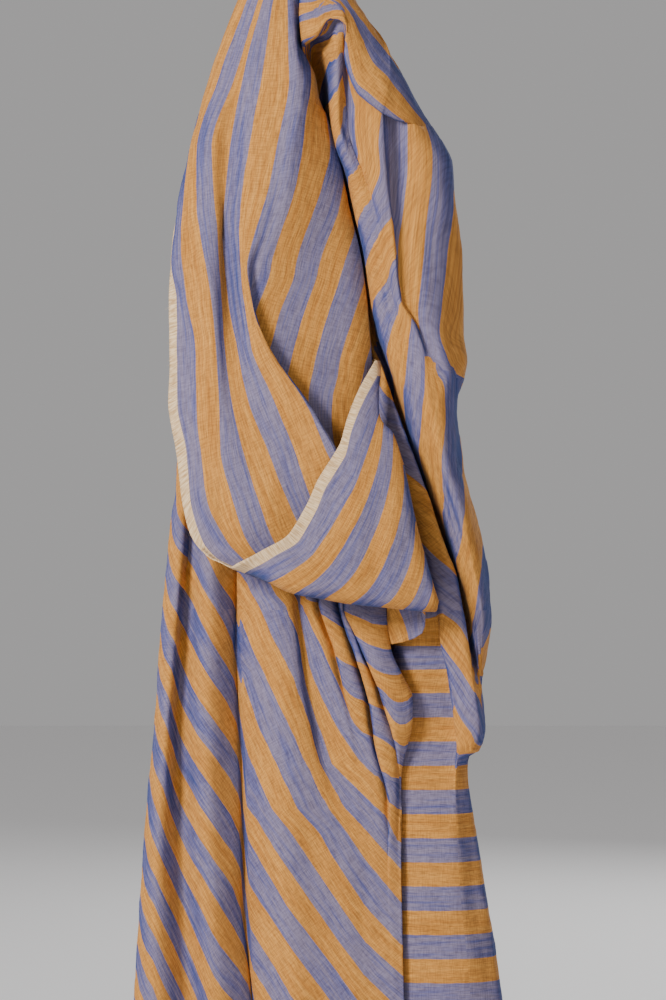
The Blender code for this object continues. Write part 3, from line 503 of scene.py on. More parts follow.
FRONT = (
    ("left silhouette", (
        (0, -22.5, 10, 19), (40, -35, 15.5, 19), (95, -53.5, 15.5, 19), (150, -68.5, 16, 19.5),
        (214, -77, 15, 20), (300, -78.5, 13.5, 20), (365, -80.5, 12.5, 20), (385, -83.8, 12, 21),
        (408, -86, 11.5, 22), (425, -87.8, 11, 23), (445, -89.6, 11, 24), (462, -91, 11, 25),
        (485, -92.6, 11.5, 26), (504, -93.6, 11.5, 27), (526, -95.2, 11.5, 28), (543, -96.8, 12, 29),
        (561, -98.8, 12, 30), (578, -100, 12, 31), (602, -102.2, 13, 32), (622, -103.3, 13, 33),
        (639, -104.6, 13, 34), (656, -105.6, 13.5, 35), (673, -106.8, 14, 36), (690, -107.7, 14.5, 37),
        (707, -108.7, 15, 38), (770, -112.7, 17, 42))),
    ("left panel", (
        (0, -19, 9.5, 18.5), (40, -30, 13.5, 18.5), (95, -46, 14, 18.5), (150, -60, 13, 18.8),
        (214, -68, 12, 19), (300, -71, 10, 19), (365, -75, 8, 19.2), (415, -78, 4, 21.35),
        (484, -84, 2, 24.9), (557, -89, 1, 28.6), (609, -92, 1, 31.0), (707, -93, 2, 36),
        (770, -94, 4, 39.6))),
    ("left valley", (
        (0, -16, 9, 18), (40, -26, 13, 18), (95, -40, 15, 18), (150, -52, 15, 18.2), (214, -60, 15, 18.5),
        (300, -64, 15, 18.5), (365, -69, 15, 18.8), (417, -73.5, 15, 21.2), (442, -75, 15, 22.3),
        (470, -76.8, 15, 23.45), (516.7, -79.5, 16, 25.45), (585, -79, 16.5, 28.4), (654, -77, 17.5, 31.4),
        (700, -73.5, 18, 33.3), (770, -69, 20, 36.5))),
    ("left front crest", (
        (0, -13, 7.5, 17.5), (40, -20, 11, 17.5), (95, -31, 11, 17.5), (150, -40, 9, 17.5),
        (214, -47, 6, 17.6), (300, -52, 3, 17.8), (365, -56, 0, 18), (415, -58, -3, 20),
        (440, -59, -4, 21.1), (507, -60, -5, 23.75), (573, -59, -5, 26.5), (640, -58, -4, 29.3),
        (707, -54, -3, 31.6), (770, -50, -2, 34.5))),
    ("crease's left wall", (
        (0, -8.5, 8.4, 17), (40, -11.5, 11.8, 17), (95, -17, 14, 17), (150, -24.5, 14.5, 17),
        (214, -31, 13, 17), (300, -37.5, 11.5, 17), (365, -41.5, 9, 17.2), (419, -43.5, 7.5, 19),
        (443, -43.8, 7, 20.1), (470, -43.8, 7, 21.1), (494, -43.2, 7.5, 22.1), (521.7, -42, 8, 23.1),
        (547, -40.4, 8.5, 24.1), (572, -39.8, 8.5, 25.1), (599, -39.2, 9, 26.1), (622, -38.6, 9, 27.1),
        (649, -37.8, 10, 28.1), (674, -36, 10, 29.1), (700.7, -33.5, 11, 30.1), (770, -28.5, 12, 32.5))),
    ("deep crease", (
        (0, -7.5, 8.6, 16.9), (40, -10, 12.2, 16.9), (95, -15, 15.5, 16.9), (150, -22, 16.5, 16.9),
        (214, -28.3, 15.5, 16.9), (300, -34.5, 14.5, 16.9), (365, -38.5, 12.8, 17.1),
        (419, -40.6, 12, 18.95),
        (470, -41, 12, 20.6), (547, -37.5, 13, 23.2), (609, -36, 14, 25.3), (660, -34.4, 15, 27.2),
        (707, -30.2, 16, 29), (770, -25.5, 17, 31.2))),
    ("crease's right wall", (
        (0, -6.3, 8.6, 16.8), (40, -8.5, 12, 16.8), (95, -13, 14.5, 16.8), (150, -19.5, 15, 16.8),
        (214, -25.5, 14, 16.8), (300, -31.5, 12, 16.8), (365, -35.5, 8.5, 17), (419, -37.6, 6, 18.9),
        (460.7, -37.5, 5, 20), (500, -36, 5, 21), (537, -34, 5.5, 22), (574.7, -33, 6, 23),
        (600, -32.6, 6.5, 24), (629, -32, 7, 25), (660, -31, 7.5, 26), (686.7, -29, 8, 27),
        (716.7, -26, 8.5, 28), (770, -22, 9, 29.8))),
    ("centre crest", (
        (0, -3, 8.5, 16.3), (40, -3, 11, 16.3), (95, -4, 10, 16.3), (150, -8, 8, 16.2), (214, -10, 5, 16),
        (300, -12, 2, 16), (365, -16, -4, 16.4), (415, -18, -9, 17.6), (447, -18, -11, 18.6),
        (485, -14, -11, 19.4), (506, -13, -11, 20.3), (559, -9, -10, 21.05), (586.7, -8, -9.5, 22),
        (615, -8, -9, 23), (642.7, -7, -8.5, 24), (668, -6, -8, 25), (707, -4, -7, 26.15),
        (770, 0, -5, 28.2))),
    ("brow of the small valley", (
        (0, -1.5, 8.2, 16), (40, -1, 11.8, 16), (95, -1, 12, 16), (150, -2, 10.5, 15.9),
        (214, -2, 8.5, 15.7),
        (300, -2, 5, 15.5), (365, -3, 0, 15.5), (415, -4, -7, 16.5), (441, -4, -10.5, 17.4),
        (462, -2, -11, 18.1), (491.6, 1, -11, 18.6), (520.7, 6.5, -11, 19.1), (542.5, 11.5, -10, 19.3),
        (565, 18, -8.5, 19.6), (590, 22, -7.5, 20.3), (609, 20, -7.5, 21.1), (660, 16, -6.8, 23.3),
        (707, 15, -6, 25.4), (770, 17, -4, 27.4))),
    ("puff's left valley", (
        (0, 0, 8, 15.8), (40, 1, 12.5, 15.8), (95, 2, 14, 15.8), (150, 3, 13, 15.6), (214, 5, 12, 15.4),
        (300, 6, 8, 15), (365, 4, 6, 14.8), (415, 1, 2, 15.8), (441, 0.5, -2, 16.7), (462, 2.2, -3, 17.4),
        (491.6, 5.1, -3, 17.9), (520.7, 11.2, -3.5, 18.2), (542.5, 16.8, -5, 18.6), (565, 24, -6, 19),
        (590, 29, -6.5, 19.9), (609, 30, -6.5, 20.6), (660, 30, -6, 22.7), (707, 31, -5, 24.6),
        (770, 33, -3, 26.5))),
    ("puff's crest", (
        (0, 1.6, 7.6, 15.4), (40, 3.2, 12.5, 15.4), (95, 5, 14, 15.4), (150, 7.5, 13, 15.1),
        (214, 10.5, 12, 14.8),
        (300, 13, 9, 14.3), (365, 14, 3, 13.8), (415, 10.5, -6, 13.6), (441, 9, -9, 14),
        (455, 12.5, -9.5, 14.6),
        (470, 18, -10.5, 15.2), (485, 22.5, -11.5, 15.8), (500, 26, -12, 16.2), (515, 31, -11.8, 16.6),
        (532.7, 36, -11, 17.1), (559, 39.5, -9, 18), (609, 41.5, -6, 20), (660, 43, -5, 21.9),
        (707, 44, -4, 23.9), (770, 46, -2, 26.1))),
    ("small fold's crease", (
        (0, 2, 7.7, 15.3), (40, 4, 12.7, 15.3), (95, 6, 14.4, 15.3), (150, 9, 13.6, 15),
        (214, 12, 12.8, 14.6),
        (300, 15, 10.5, 14), (365, 17, 6, 13.5), (415, 15, 0, 13.3), (441, 14.5, -4, 13.7),
        (455, 18.5, -4.5, 14.3),
        (470, 24, -5.5, 15), (485, 28, -7, 15.5), (500, 31.3, -9, 16), (515, 35, -10.5, 16.5),
        (532.7, 38.5, -10.7, 17.0), (559, 41, -9, 17.95), (609, 43, -6, 19.9), (660, 44.5, -5, 21.8),
        (707, 45.5, -4, 23.8), (770, 47.5, -2, 26.0))),
    ("small fold's left lip", (
        (0, 2.2, 7.6, 15.25), (40, 4.5, 12.7, 15.25), (95, 6.4, 14.2, 15.25), (150, 9.8, 13.4, 14.95),
        (214, 13.2, 12.4, 14.5), (300, 17, 9.8, 13.9), (365, 19, 4, 13.2), (415, 17, -7, 12.8),
        (441, 15.4, -12, 12.8), (455, 19.4, -13, 13.1), (470, 25, -14, 13.9), (485, 29, -14.2, 14.5),
        (500, 32.4, -13.6, 15.4), (515, 36.8, -12.3, 16.2), (532.7, 42, -11.2, 16.7),
        (559, 45.5, -9.2, 17.6),
        (609, 47.5, -6, 19.6), (660, 49, -5, 21.6), (707, 50, -4, 23.5), (770, 52, -2, 25.8))),
    ("small fold's crest", (
        (0, 2.4, 7.7, 15.2), (40, 4.8, 12.8, 15.2), (95, 6.8, 14.3, 15.2), (150, 10.4, 13.6, 14.9),
        (214, 14, 12.6, 14.4), (300, 18.5, 10, 13.7), (365, 21, 3.5, 12.7), (415, 20.5, -7.5, 11.9),
        (441, 23, -12.5, 11.7), (466.3, 31, -13.2, 13), (483.5, 37, -13.5, 14), (506, 43.5, -13, 15),
        (525, 46.5, -12.2, 15.7), (540, 49.5, -11, 16.2), (559.2, 54, -9.5, 17), (573, 56, -8.5, 17.45),
        (590, 57.5, -7.3, 18.1), (609, 57.5, -6.2, 18.9), (660, 58, -5.2, 20.9), (707, 59, -4.1, 22.95),
        (770, 60.5, -2, 25.5))),
    ("before the first small fold", (
        (0, 2.5, 7.8, 15.2), (40, 5, 13, 15.2), (95, 7, 14.5, 15.2), (150, 11, 14, 14.9),
        (214, 15, 13, 14.4),
        (300, 20, 11, 13.6), (365, 23, 6, 12.5), (415, 24.5, 0, 11.4), (444, 28, -3, 11.8),
        (466.3, 35, -4, 13),
        (483.5, 41.3, -4.5, 14), (506, 47.2, -5.5, 15), (525, 50.2, -6, 15.7), (540, 53.2, -6, 16.2),
        (559.2, 58.4, -5.5, 17), (573, 60.4, -5.5, 17.45), (590, 61, -5.5, 18.1), (609, 60.5, -5.5, 18.9),
        (660, 61, -5, 20.9), (707, 61.5, -4, 22.95), (770, 62.5, -2, 25.45))),
    ("first small fold", (
        (0, 2.8, 7.4, 15.2), (40, 5.5, 12.4, 15.2), (95, 8, 13.8, 15.2), (150, 12, 13, 14.8),
        (214, 16, 12, 14.2), (300, 21, 9.5, 13.2), (365, 24.5, 3, 12), (415, 26, -8, 10.8),
        (444, 28.7, -14, 11.4), (455, 32, -15, 12), (479.6, 40.3, -15, 13), (508.4, 48.6, -15, 14),
        (525, 51.2, -14.6, 14.7), (540, 54.2, -14, 15.3), (557, 58.6, -13, 16), (573, 61.2, -11, 17.2),
        (590, 61.8, -8.5, 18), (609, 61.3, -6.2, 18.8),
        (660, 61.8, -5, 20.85), (707, 62.3, -4, 22.9),
        (770, 63.3, -2, 25.4))),
    ("between the small folds", (
        (0, 3, 7.2, 15.1), (40, 6.2, 12.2, 15.1), (95, 8.6, 13.6, 15.1), (150, 13, 13, 14.6),
        (214, 18, 12.3, 14), (300, 24, 10, 13), (365, 29, 3.5, 11.9), (415, 30, -8, 10.8),
        (444, 30.5, -14.5, 11.45), (462, 37.5, -15.5, 12.35), (477.4, 43.3, -15.5, 12.95),
        (495, 49.5, -15.5, 13.45), (510, 54, -15, 14), (535, 60, -14, 15.05), (557, 64, -12.5, 16),
        (573, 65.5, -10, 17.05), (609, 64.6, -5.5, 18.55), (660, 64, -5, 20.6), (707, 65, -4, 22.7),
        (770, 66.5, -1.5, 25.3))),
    ("before the second small fold", (
        (0, 3.3, 7.4, 15.1), (40, 6.8, 12.6, 15.1), (95, 9, 14, 15.1), (150, 14, 13.8, 14.5),
        (214, 19.5, 13.5, 13.8), (300, 27, 12, 12.8), (365, 33, 7, 11.6), (415, 33, -2, 10.6),
        (444, 31.6, -7, 11.5), (462, 39, -8, 12.4), (477.4, 45.6, -8.5, 13), (495, 53.2, -9, 13.5),
        (511.7, 58.5, -9.5, 14), (525, 63.3, -10, 14.5), (536.5, 65.8, -10.5, 15), (546, 67, -9, 15.5),
        (559.2, 68, -6.5, 16.1), (573, 68, -6, 16.9), (609, 67, -5, 18.4), (660, 67.8, -4.5, 20.5),
        (707, 68.6, -3.5, 22.6), (770, 70, -1.2, 25.25))),
    ("second small fold", (
        (0, 3.5, 7, 15), (40, 7.3, 12.3, 15), (95, 9.3, 13.5, 15), (150, 15, 13.2, 14.4),
        (214, 20.5, 12.5, 13.6), (300, 28, 10.5, 12.4), (365, 35, 4, 11), (415, 36, -10, 9.6),
        (444, 32.5, -17, 8.9), (462, 39.7, -19, 9.8), (477.3, 46.3, -19.5, 10.5), (495, 54, -19.5, 11.5),
        (509.3, 58.5, -19, 12.35), (525, 64, -17, 13.25), (537, 66.5, -14, 14), (546, 67.6, -11, 14.6),
        (552, 68.2, -8, 15.6), (573, 68.4, -6, 16.85), (609, 67.4, -5, 18.35), (660, 68.2, -4.5, 20.45),
        (707, 69, -3.5, 22.55), (770, 70.4, -1.2, 25.2))),
    ("pillow's crest", (
        (0, 3.8, 6.8, 15), (40, 7.7, 12.6, 15), (95, 9.6, 13.8, 15), (150, 15.5, 13.5, 14.4),
        (214, 21.2, 13, 13.6), (300, 29, 11, 12.6), (365, 38, 5, 11.4), (415, 44, -8, 9.6),
        (441, 48, -16, 8.9),
        (462, 51.5, -19, 9.6), (480, 57, -20.5, 10.5), (495, 63, -21, 11.4), (507, 67, -20, 12.1),
        (521.6, 70, -17, 13.05), (537, 69.5, -13, 14), (546, 68.5, -10.5, 14.6), (552, 68.6, -7.5, 15.6),
        (573, 68.8, -6, 16.85), (609, 68, -5, 18.35), (660, 69, -4.5, 20.4), (707, 69.7, -3.4, 22.45),
        (770, 71, -1.1, 25.15))),
    ("puff's right edge", (
        (0, 4, 7, 15), (40, 8, 13, 15), (95, 10, 15, 15), (150, 16, 15, 14.4), (214, 22, 15, 13.6),
        (300, 30, 13, 13), (365, 40, 8, 12), (415, 52, -2, 9.6), (441, 60, -8, 9.2),
        (460, 61, -10.5, 9.6), (473, 63, -12.5, 10.1),
        (488.4, 69.6, -13.5, 11), (506.7, 76.8, -13.5, 12), (521.6, 76.5, -12.5, 13), (537, 73, -10, 14),
        (546, 70.5, -8, 14.6), (552, 69.3, -6.5, 15.6), (557, 69, -6, 16.0), (576, 69, -6, 17),
        (601, 69, -5, 18), (618.7, 69, -5, 19), (641, 69.5, -4.5, 20), (670, 70, -4, 21),
        (690, 70.5, -3.5, 22),
        (714.7, 71.2, -3, 23), (770, 72, -1, 25.1))),
    ("outer end", (
        (0, 4, 9.5, 14.5), (40, 8, 15.5, 14.5), (95, 11, 18, 14.5), (150, 18, 18, 14), (214, 25, 18, 13),
        (300, 34, 16, 12), (365, 42, 15, 11), (415, 48, 12, 10.5), (441, 48, 9, 11), (497, 56, 8, 13.5),
        (544, 55, 9, 15), (609, 54, 10, 17.5), (707, 56, 12, 22), (770, 57, 14, 24.5))),
)
print("front lines:", len(FRONT))

# %% [markdown]
# ## The flap
# Where the cowl reaches its lowest crease, the cloth folds forwards and up again,
# and its other face shows. Each of the cowl's lines goes on from the crease to the
# flap's ridge. The free selvedge has an uneven bow. A stripe and a half behind it
# the lines have come to a calmer one, and those between are a mix of the two.

# %% The flap's ridge and bow
# drop, x, y, how far the line stands out in front of the crease, sideways turn at the ridge
RIDGE = (
    (281, 51.5, -21, 16, 3), (291, 53, -25, 21, 2), (316, 54, -34, 19, -2), (323, 57, -37, 17, -4),
    (329, 63, -38, 15, -5), (350, 70, -42, 13, -6), (387, 78, -46, 11, -6), (437, 92, -47, 9, -6),
)
SELVEDGE_BOW = (0.0, 0.55, 1.0, 0.92, 0.72, 0.70, 0.35, 0.12, 0.0)
CALM_BOW = (0.0, 0.66, 0.94, 1.03, 1.04, 0.95, 0.76, 0.46, 0.0)      # of the lines well behind it
CALM_BEHIND = 1.5           # stripes from the selvedge to where the bow is calm
FLAP_BULGE = 0.115          # height of the bow, as a share of the line's length
CREASE_ROLL = 14.0          # millimetres over which the flap rounds the crease
TURN_BACK = 5.0             # millimetres that the ridge turns back
CREASE_DROP = 446.0         # where body and hem meet, under the flap
HEM_DROP = 770.0
print("flap: ridge falls", RIDGE[-1][0] - RIDGE[0][0], "mm")

# %% [markdown]
# ## From lines to a sheet
# A sheet needs points everywhere, not only on the lines. The first step goes down
# each line. A plain cubic through the knots would swing past them and make bumps
# that no hand pressed in, so the slopes are calmed wherever the line turns.

# %% Curves down a line
FINENESS = 1.0
TOP_ROWS = int(36 * FINENESS)            # from the hang point to the lip of the upper right fold
LIP_ROWS = 6                             # under that lip
BODY_ROWS = int(96 * FINENESS)           # from there to the crease
FLAP_ROWS = int(44 * FINENESS)
HEM_ROWS = int(76 * FINENESS)
STRIPS = int(4 * FINENESS)               # columns between one line and the next


def calm_slopes(slope):
    """Slopes at the knots that keep a curve from swinging past them."""
    both = slope[:-1] + slope[1:]
    product = slope[:-1] * slope[1:]
    calm = np.where(product > 0, 2 * product / np.where(product > 0, both, 1), 0)
    return np.concatenate([slope[:1], calm, slope[-1:]])


def hermite(here, there, leave, arrive, t):
    """A cubic from here to there with the given slopes."""
    return (here * (2 * t**3 - 3 * t**2 + 1) + leave * (t**3 - 2 * t**2 + t)
            + there * (3 * t**2 - 2 * t**3) + arrive * (t**3 - t**2))


def smooth(places, knots, values):
    """Values at some places along a curve that never swings past its knots."""
    knots = np.array(knots, dtype=float)
    values = np.array(values, dtype=float)
    step = np.diff(knots)
    slope = calm_slopes(np.diff(values) / step)
    i = np.clip(np.searchsorted(knots, places, side="right") - 1, 0, len(step) - 1)
    t = np.clip((places - knots[i]) / step[i], 0, 1)
    return hermite(values[i], values[i + 1], slope[i] * step[i], slope[i + 1] * step[i], t)


def down_line(drops, knots):
    """x, y, z and stripe at each drop of one line."""
    at, xs, ys = zip(*[knot[:3] for knot in knots])
    counted = [knot for knot in knots if len(knot) == 4] or [(0, 0, 0, 0), (HEM_DROP, 0, 0, 0)]
    counts = [rule(x, drop) if callable(rule) else rule for drop, x, _, rule in counted]
    stripe = smooth(drops, [knot[0] for knot in counted], counts)
    return np.stack([smooth(drops, at, xs), smooth(drops, at, ys), -drops, stripe], axis=1)


print("halfway down the valley:", down_line(np.array([220.0]), COWL[5][1]).round(1))

# %% [markdown]
# ## Across the lines
# The second step goes from line to line. Here a rounder curve is wanted, so that the
# folds are full and not pinched: the slope at a line comes from the lines on both
# sides of it. The stripe count stays calm, because a stripe's edge is a thread, and
# threads don't swing. Colours repeat every two stripes, so between lines whose
# counts were made on their own, the nearest equal stripe is used.

# %% Curves across the lines
def across(lines, matched):
    """Fill in the columns between lines."""
    lines = np.array(lines)
    gap = np.linalg.norm(np.diff(lines[:, :, :3], axis=0), axis=2)[:, :, None] + 0.01
    stripe = lines[:, :, 3:]
    stripe_slope = calm_slopes(np.diff(stripe, axis=0) / gap)
    filled = []
    last = len(lines) - 1
    for i in range(last):
        target = stripe[i + 1]
        leave_stripe = stripe_slope[i] * gap[i]
        arrive_stripe = stripe_slope[i + 1] * gap[i]
        if i in matched:
            target = target + 2 * np.round((stripe[i] - target) / 2)
            leave_stripe = arrive_stripe = target - stripe[i]
        here = lines[i, :, :3]
        there = lines[i + 1, :, :3]
        leave = there - here
        arrive = there - here
        if i > 0:
            leave = (there - lines[i - 1, :, :3]) / (gap[i] + gap[i - 1]) * gap[i]
        if i + 1 < last:
            arrive = (lines[i + 2, :, :3] - here) / (gap[i] + gap[i + 1]) * gap[i]
        for part in range(STRIPS):
            t = part / STRIPS
            place = hermite(here, there, leave, arrive, t)
            count = hermite(stripe[i], target, leave_stripe, arrive_stripe, t)
            filled.append(np.concatenate([place, count], axis=1))
    filled.append(lines[last])
    return np.array(filled)


print("columns for each strip:", STRIPS)

# %% [markdown]
# ## Body, flap and hem
# The cloth is made as three grids that meet at the crease: the body from the hang
# point down to it, the flap that folds up and out from it, and the long hem below
# it. A line with a turned-under lip gets a few rows that roll round the lip. A line
# of the flap rises from the crease, bows like its neighbours and turns back at the
# ridge.

# %% Three grids of points
PLAIN_LIP = 90.0            # drop where the rows change spacing on a line without a lip
LIP_GAP = 1.5


def body_line(row, bottom):
    """One line from the hang point to the crease, with the turned-under lip if it has one."""
    upper = row[1]
    lower = row[-1]
    lip = upper[-1][0] if len(row) > 2 else PLAIN_LIP
    start = lower[0][0] if len(row) > 2 else PLAIN_LIP + LIP_GAP
    above = down_line(np.linspace(0, lip, TOP_ROWS), upper)
    rest = np.linspace(0, 1, BODY_ROWS)
    under = down_line(start + (bottom - start) * (1 - (1 - rest) ** 1.3), lower)
    t = (np.arange(1, LIP_ROWS + 1) / (LIP_ROWS + 1))[:, None]
    turn = above[-1] + (under[0] - above[-1]) * t
    depth = abs(under[0][1] - above[-1][1])
    turn[:, 2:3] += 0.8 * depth * np.sin(np.pi * t) * (t - 0.25)
    return np.concatenate([above, turn, under])


def flap_line(crease, ridge):
    """One line of the flap, from the crease up to the ridge and a little way round it."""
    drop, x, y, stand_out, turn = ridge
    along = np.linspace(0, 1, FLAP_ROWS + 1)[1:] ** 1.25
    start = crease[:3]
    end = np.array((x, y, -drop))
    chord = end - start
    length = math.hypot(chord[0], chord[2])
    side = np.array((chord[2], 0, -chord[0])) / length
    behind = min(max(crease[3], 0) / CALM_BEHIND, 1)
    bows = np.array(SELVEDGE_BOW) * (1 - behind) + np.array(CALM_BOW) * behind
    bow = smooth(along, np.linspace(0, 1, len(bows)), bows)
    points = start + along[:, None] * chord + (bow * FLAP_BULGE * length)[:, None] * side
    rise = np.clip(along * length / CREASE_ROLL, 0, 1)
    points[:, 1] -= stand_out * np.sqrt(1 - (1 - rise) ** 2) * (1 - along**4)
    quarter = points[-1] + np.array((0.15 * turn + 0.8, 0.35 * TURN_BACK, 0))
    under = points[-1] + np.array((turn, TURN_BACK, 0))
    points = np.vstack([points, quarter, under])
    return np.concatenate([points, np.full((len(points), 1), crease[3])], axis=1)


lines = [body_line(row, row[1][-1][0]) for row in COWL + TUCK]
below = np.linspace(CREASE_DROP, HEM_DROP, HEM_ROWS + 1)[1:]
lines += [body_line(row, CREASE_DROP) for row in SKIRT + FRONT]
names = [row[0] for row in SKIRT]
matched = range(names.index("panel behind the fold"), names.index("right side"))
before = len(COWL + TUCK)
body = across(lines, [before + i for i in matched])
flap = across([flap_line(lines[i][-1], RIDGE[i]) for i in range(len(COWL))], ())
hem = across([down_line(below, row[-1]) for row in SKIRT + FRONT], matched)
flap = np.concatenate([body[:len(flap), -1:], flap], axis=1)
hem = np.concatenate([body[-len(hem):, -1:], hem], axis=1)
print("grid points:", body.shape[:2], flap.shape[:2], hem.shape[:2])

# %% [markdown]
# ## Counting the stripes on the folds
# On the centre panel and its small folds, the count at a place comes from the edges
# of the stripes around it. Nothing shows how the stripes run on the sides and the
# back. There the real cloth decides: one more stripe for every stripe's width of
# cloth, counted on from the front in both directions.

# %% Stripe counts on the folds, the sides and the back
PAINTED_FROM = 436.0        # drop where the centre panel comes out from under the flap
PAINTED_OVER = 6.0
LAST_FOLDED = 16            # from this count on, the centre panel's own edges hold on the folds too
LEVEL_BACK_FROM = 470.0     # drop where the back's stripes start to lie level
LEVEL_BACK_OVER = 90.0
CALM_STEP = 2.0             # millimetres between samples down the right side
CALM_WIDTH = 22.0           # millimetres over which the counts there are evened out


def column_of(rows, name, lines_before):
    """The grid's column where a named line of a table runs."""
    return STRIPS * (lines_before + [row[0] for row in rows].index(name))


def counted(places, edges, first, step):
    """Count from first, one step more past each edge, in proportion between two edges."""
    count = np.full(places.shape, float(first))
    for here, there in zip(edges[:-1], edges[1:]):
        count += step * np.clip((places - here) / np.maximum(there - here, 0.5), 0, 1)
    return count


def paint(grid, lines_before):
    """Stripe counts on the centre panel and its folds, straight from the edges of the stripes."""
    start = column_of(FRONT, "crease's right wall", lines_before)
    stop = column_of(FRONT, "puff's right edge", lines_before) + 1
    x = grid[start:stop, :, 0]
    drop = -grid[start:stop, :, 2]
    edges = [np.interp(drop, *zip(*edge)) for edge in CENTRE_EDGES]
    count = counted(x, edges, 29, -1) - np.clip((x - edges[-1]) / 14, 0, 0.9)
    for first_line, last_line, first, fold_edges in FOLD_EDGES:
        fold = slice(column_of(FRONT, first_line, lines_before) + 1 - start,
                     column_of(FRONT, last_line, lines_before) + 1 - start)
        edges = [np.interp(x[fold], *zip(*edge)) for edge in fold_edges]
        on_fold = counted(drop[fold], edges, first, 1) + np.clip((drop[fold] - edges[0]) / 17, -0.95, 0)
        count[fold] = np.where(count[fold] < LAST_FOLDED, on_fold, count[fold])
    share = np.clip((drop - PAINTED_FROM) / PAINTED_OVER, 0, 1)
    grid[start:stop, :, 3] += (count - grid[start:stop, :, 3]) * share


def side_count():
    """Drops and stripe counts down the right side, jumps taken out, as they are and evened out."""
    line = np.concatenate([body[column_of(SKIRT, "right side", before)],
                           hem[column_of(SKIRT, "right side", 0), 1:]])
    drops = np.arange(0, HEM_DROP + 1, CALM_STEP)
    count = np.interp(drops, np.maximum.accumulate(-line[:, 2]), line[:, 3])
    for i in range(1, len(count)):
        count[i:] += 2 * round((count[i - 1] - count[i]) / 2)
    reach = 24
    weights = np.exp(-(np.arange(-reach, reach + 1) * CALM_STEP / CALM_WIDTH) ** 2)
    padded = np.pad(count, reach, mode="edge")
    return drops, count, np.convolve(padded, weights / weights.sum(), mode="valid")


def carry_round(grid, lines_before):
    """Stripe counts on the sides and the back, one more for every stripe's width of cloth."""
    side = column_of(SKIRT, "right side", lines_before)
    seam = column_of(SKIRT, "back, right valley", lines_before)
    front = STRIPS * (lines_before + len(SKIRT))
    width = np.linalg.norm(np.diff(grid[:, :, :3], axis=0), axis=2) / STRIPE_PITCH
    grid[side, :, 3] = np.interp(-grid[side, :, 2], drops, counts)
    reach = np.cumsum(width[side:seam], axis=0)
    drop = -grid[side + 1:seam + 1, :, 2]
    sharp = np.interp(drop, drops, counts)
    calm = np.interp(drop, drops, calm_counts)
    lies_level = np.clip((drop - LEVEL_BACK_FROM) / LEVEL_BACK_OVER, 0, 1)
    lies_level = lies_level * lies_level * (3 - 2 * lies_level)
    grid[side + 1:seam + 1, :, 3] = sharp + (calm - sharp) * np.clip(reach, 0, 1) + reach * (1 - lies_level)
    reach = np.cumsum(width[seam + STRIPS:front][::-1], axis=0)[::-1]
    grid[seam + STRIPS:front, :, 3] = grid[front, :, 3] + reach
    grid[seam + 1:seam + STRIPS, :, 3] = grid[seam, :, 3]


paint(body, before + len(SKIRT))
paint(hem, len(SKIRT))
drops, counts, calm_counts = side_count()
carry_round(body, before)
carry_round(hem, 0)
print("stripes down the right side:", round(float(np.ptp(counts)), 1))

# %% [markdown]
# ## Soft creases
# Linen that has been folded and handled keeps soft dents. The main ones are listed
# one by one, each as a short line with a width and a height, and a little slow noise
# makes the rest of the surface slightly uneven. Each one only moves the cloth along
# its own surface direction, so that nothing is torn.

# %% Dents and ripples
# drop and x where it starts and ends, half width, height in front (below 0 is a dent)
CREASES = (
    (190, -70, 290, -62, 5, -1.6), (205, -56, 330, -58, 4, 1.2), (240, -72, 345, -70, 4, -1.4),
    (300, -45, 372, -22, 4, -1.2), (330, -62, 395, -44, 5, -1.5), (345, -36, 402, -10, 4, 1.1),
    (365, -58, 408, -36, 4, -1.3), (120, -40, 215, -52, 5, 1.0), (60, -34, 150, -48, 4, -1.0),
    (140, -20, 215, -40, 4, -1.0), (150, 4, 250, -18, 5, 1.0), (170, 22, 262, 4, 4, -1.1),
    (205, 34, 292, 22, 4, 0.9), (90, -8, 190, -14, 5, -0.9), (300, 20, 350, -4, 3, -0.8),
    (405, 8, 352, 38, 3, -1.3), (414, 22, 356, 52, 3, 1.1), (421, 38, 366, 62, 3, -1.2),
    (428, 50, 372, 70, 3, 1.0), (434, 66, 384, 78, 3, -1.0), (400, 0, 386, 20, 3, 1.0),
    (150, 62, 240, 62, 4, -1.0), (160, 88, 232, 86, 5, -1.4), (140, 98, 210, 101, 4, 1.0),
    (255, 97, 285, 104, 4, -1.8), (300, 92, 345, 99, 4, 1.2), (340, 88, 400, 106, 4, -1.2),
    (352, 106, 398, 114, 4, 1.2), (420, 114, 455, 119, 4, -1.0), (470, 103, 520, 112, 4, -1.2),
    (500, 112, 533, 118, 4, 1.2), (480, -66, 600, -62, 6, 1.2), (520, -52, 660, -44, 6, -1.2),
    (500, -26, 620, -18, 6, 1.0), (560, 4, 700, 16, 7, -1.2), (600, 30, 740, 44, 7, 1.2),
    (640, -20, 760, -8, 7, -1.1), (560, 80, 640, 84, 5, -1.0), (640, 96, 740, 104, 6, 1.1),
    (620, -92, 740, -98, 5, -1.1), (95, 50, 75, 30, 3, -0.8), (112, 62, 92, 52, 3, 0.8),
)


# Slow and quick unevenness: how long a ripple is along x, y and z, and how high, in millimetres.
RIPPLES = ((16, 20, 34, 1.1), (6, 7, 9, 0.42))


def crease_height(x, drop):
    """Height of all the listed creases at the given places, in millimetres."""
    height = np.zeros_like(x)
    for drop_0, x_0, drop_1, x_1, width, rise in CREASES:
        length = math.hypot(drop_1 - drop_0, x_1 - x_0)
        along = ((drop - drop_0) * (drop_1 - drop_0) + (x - x_0) * (x_1 - x_0)) / length
        aside = ((x - x_0) * (drop_1 - drop_0) - (drop - drop_0) * (x_1 - x_0)) / length
        reach = np.clip(along / length, 0, 1)
        ends = np.where((along > 0) & (along < length), np.sin(np.pi * reach) ** 0.7, 0)
        bend = aside + 1.5 * np.sin(reach * 5 + x_0)
        height += rise * ends * np.exp(-((bend / width) ** 2))
    return height


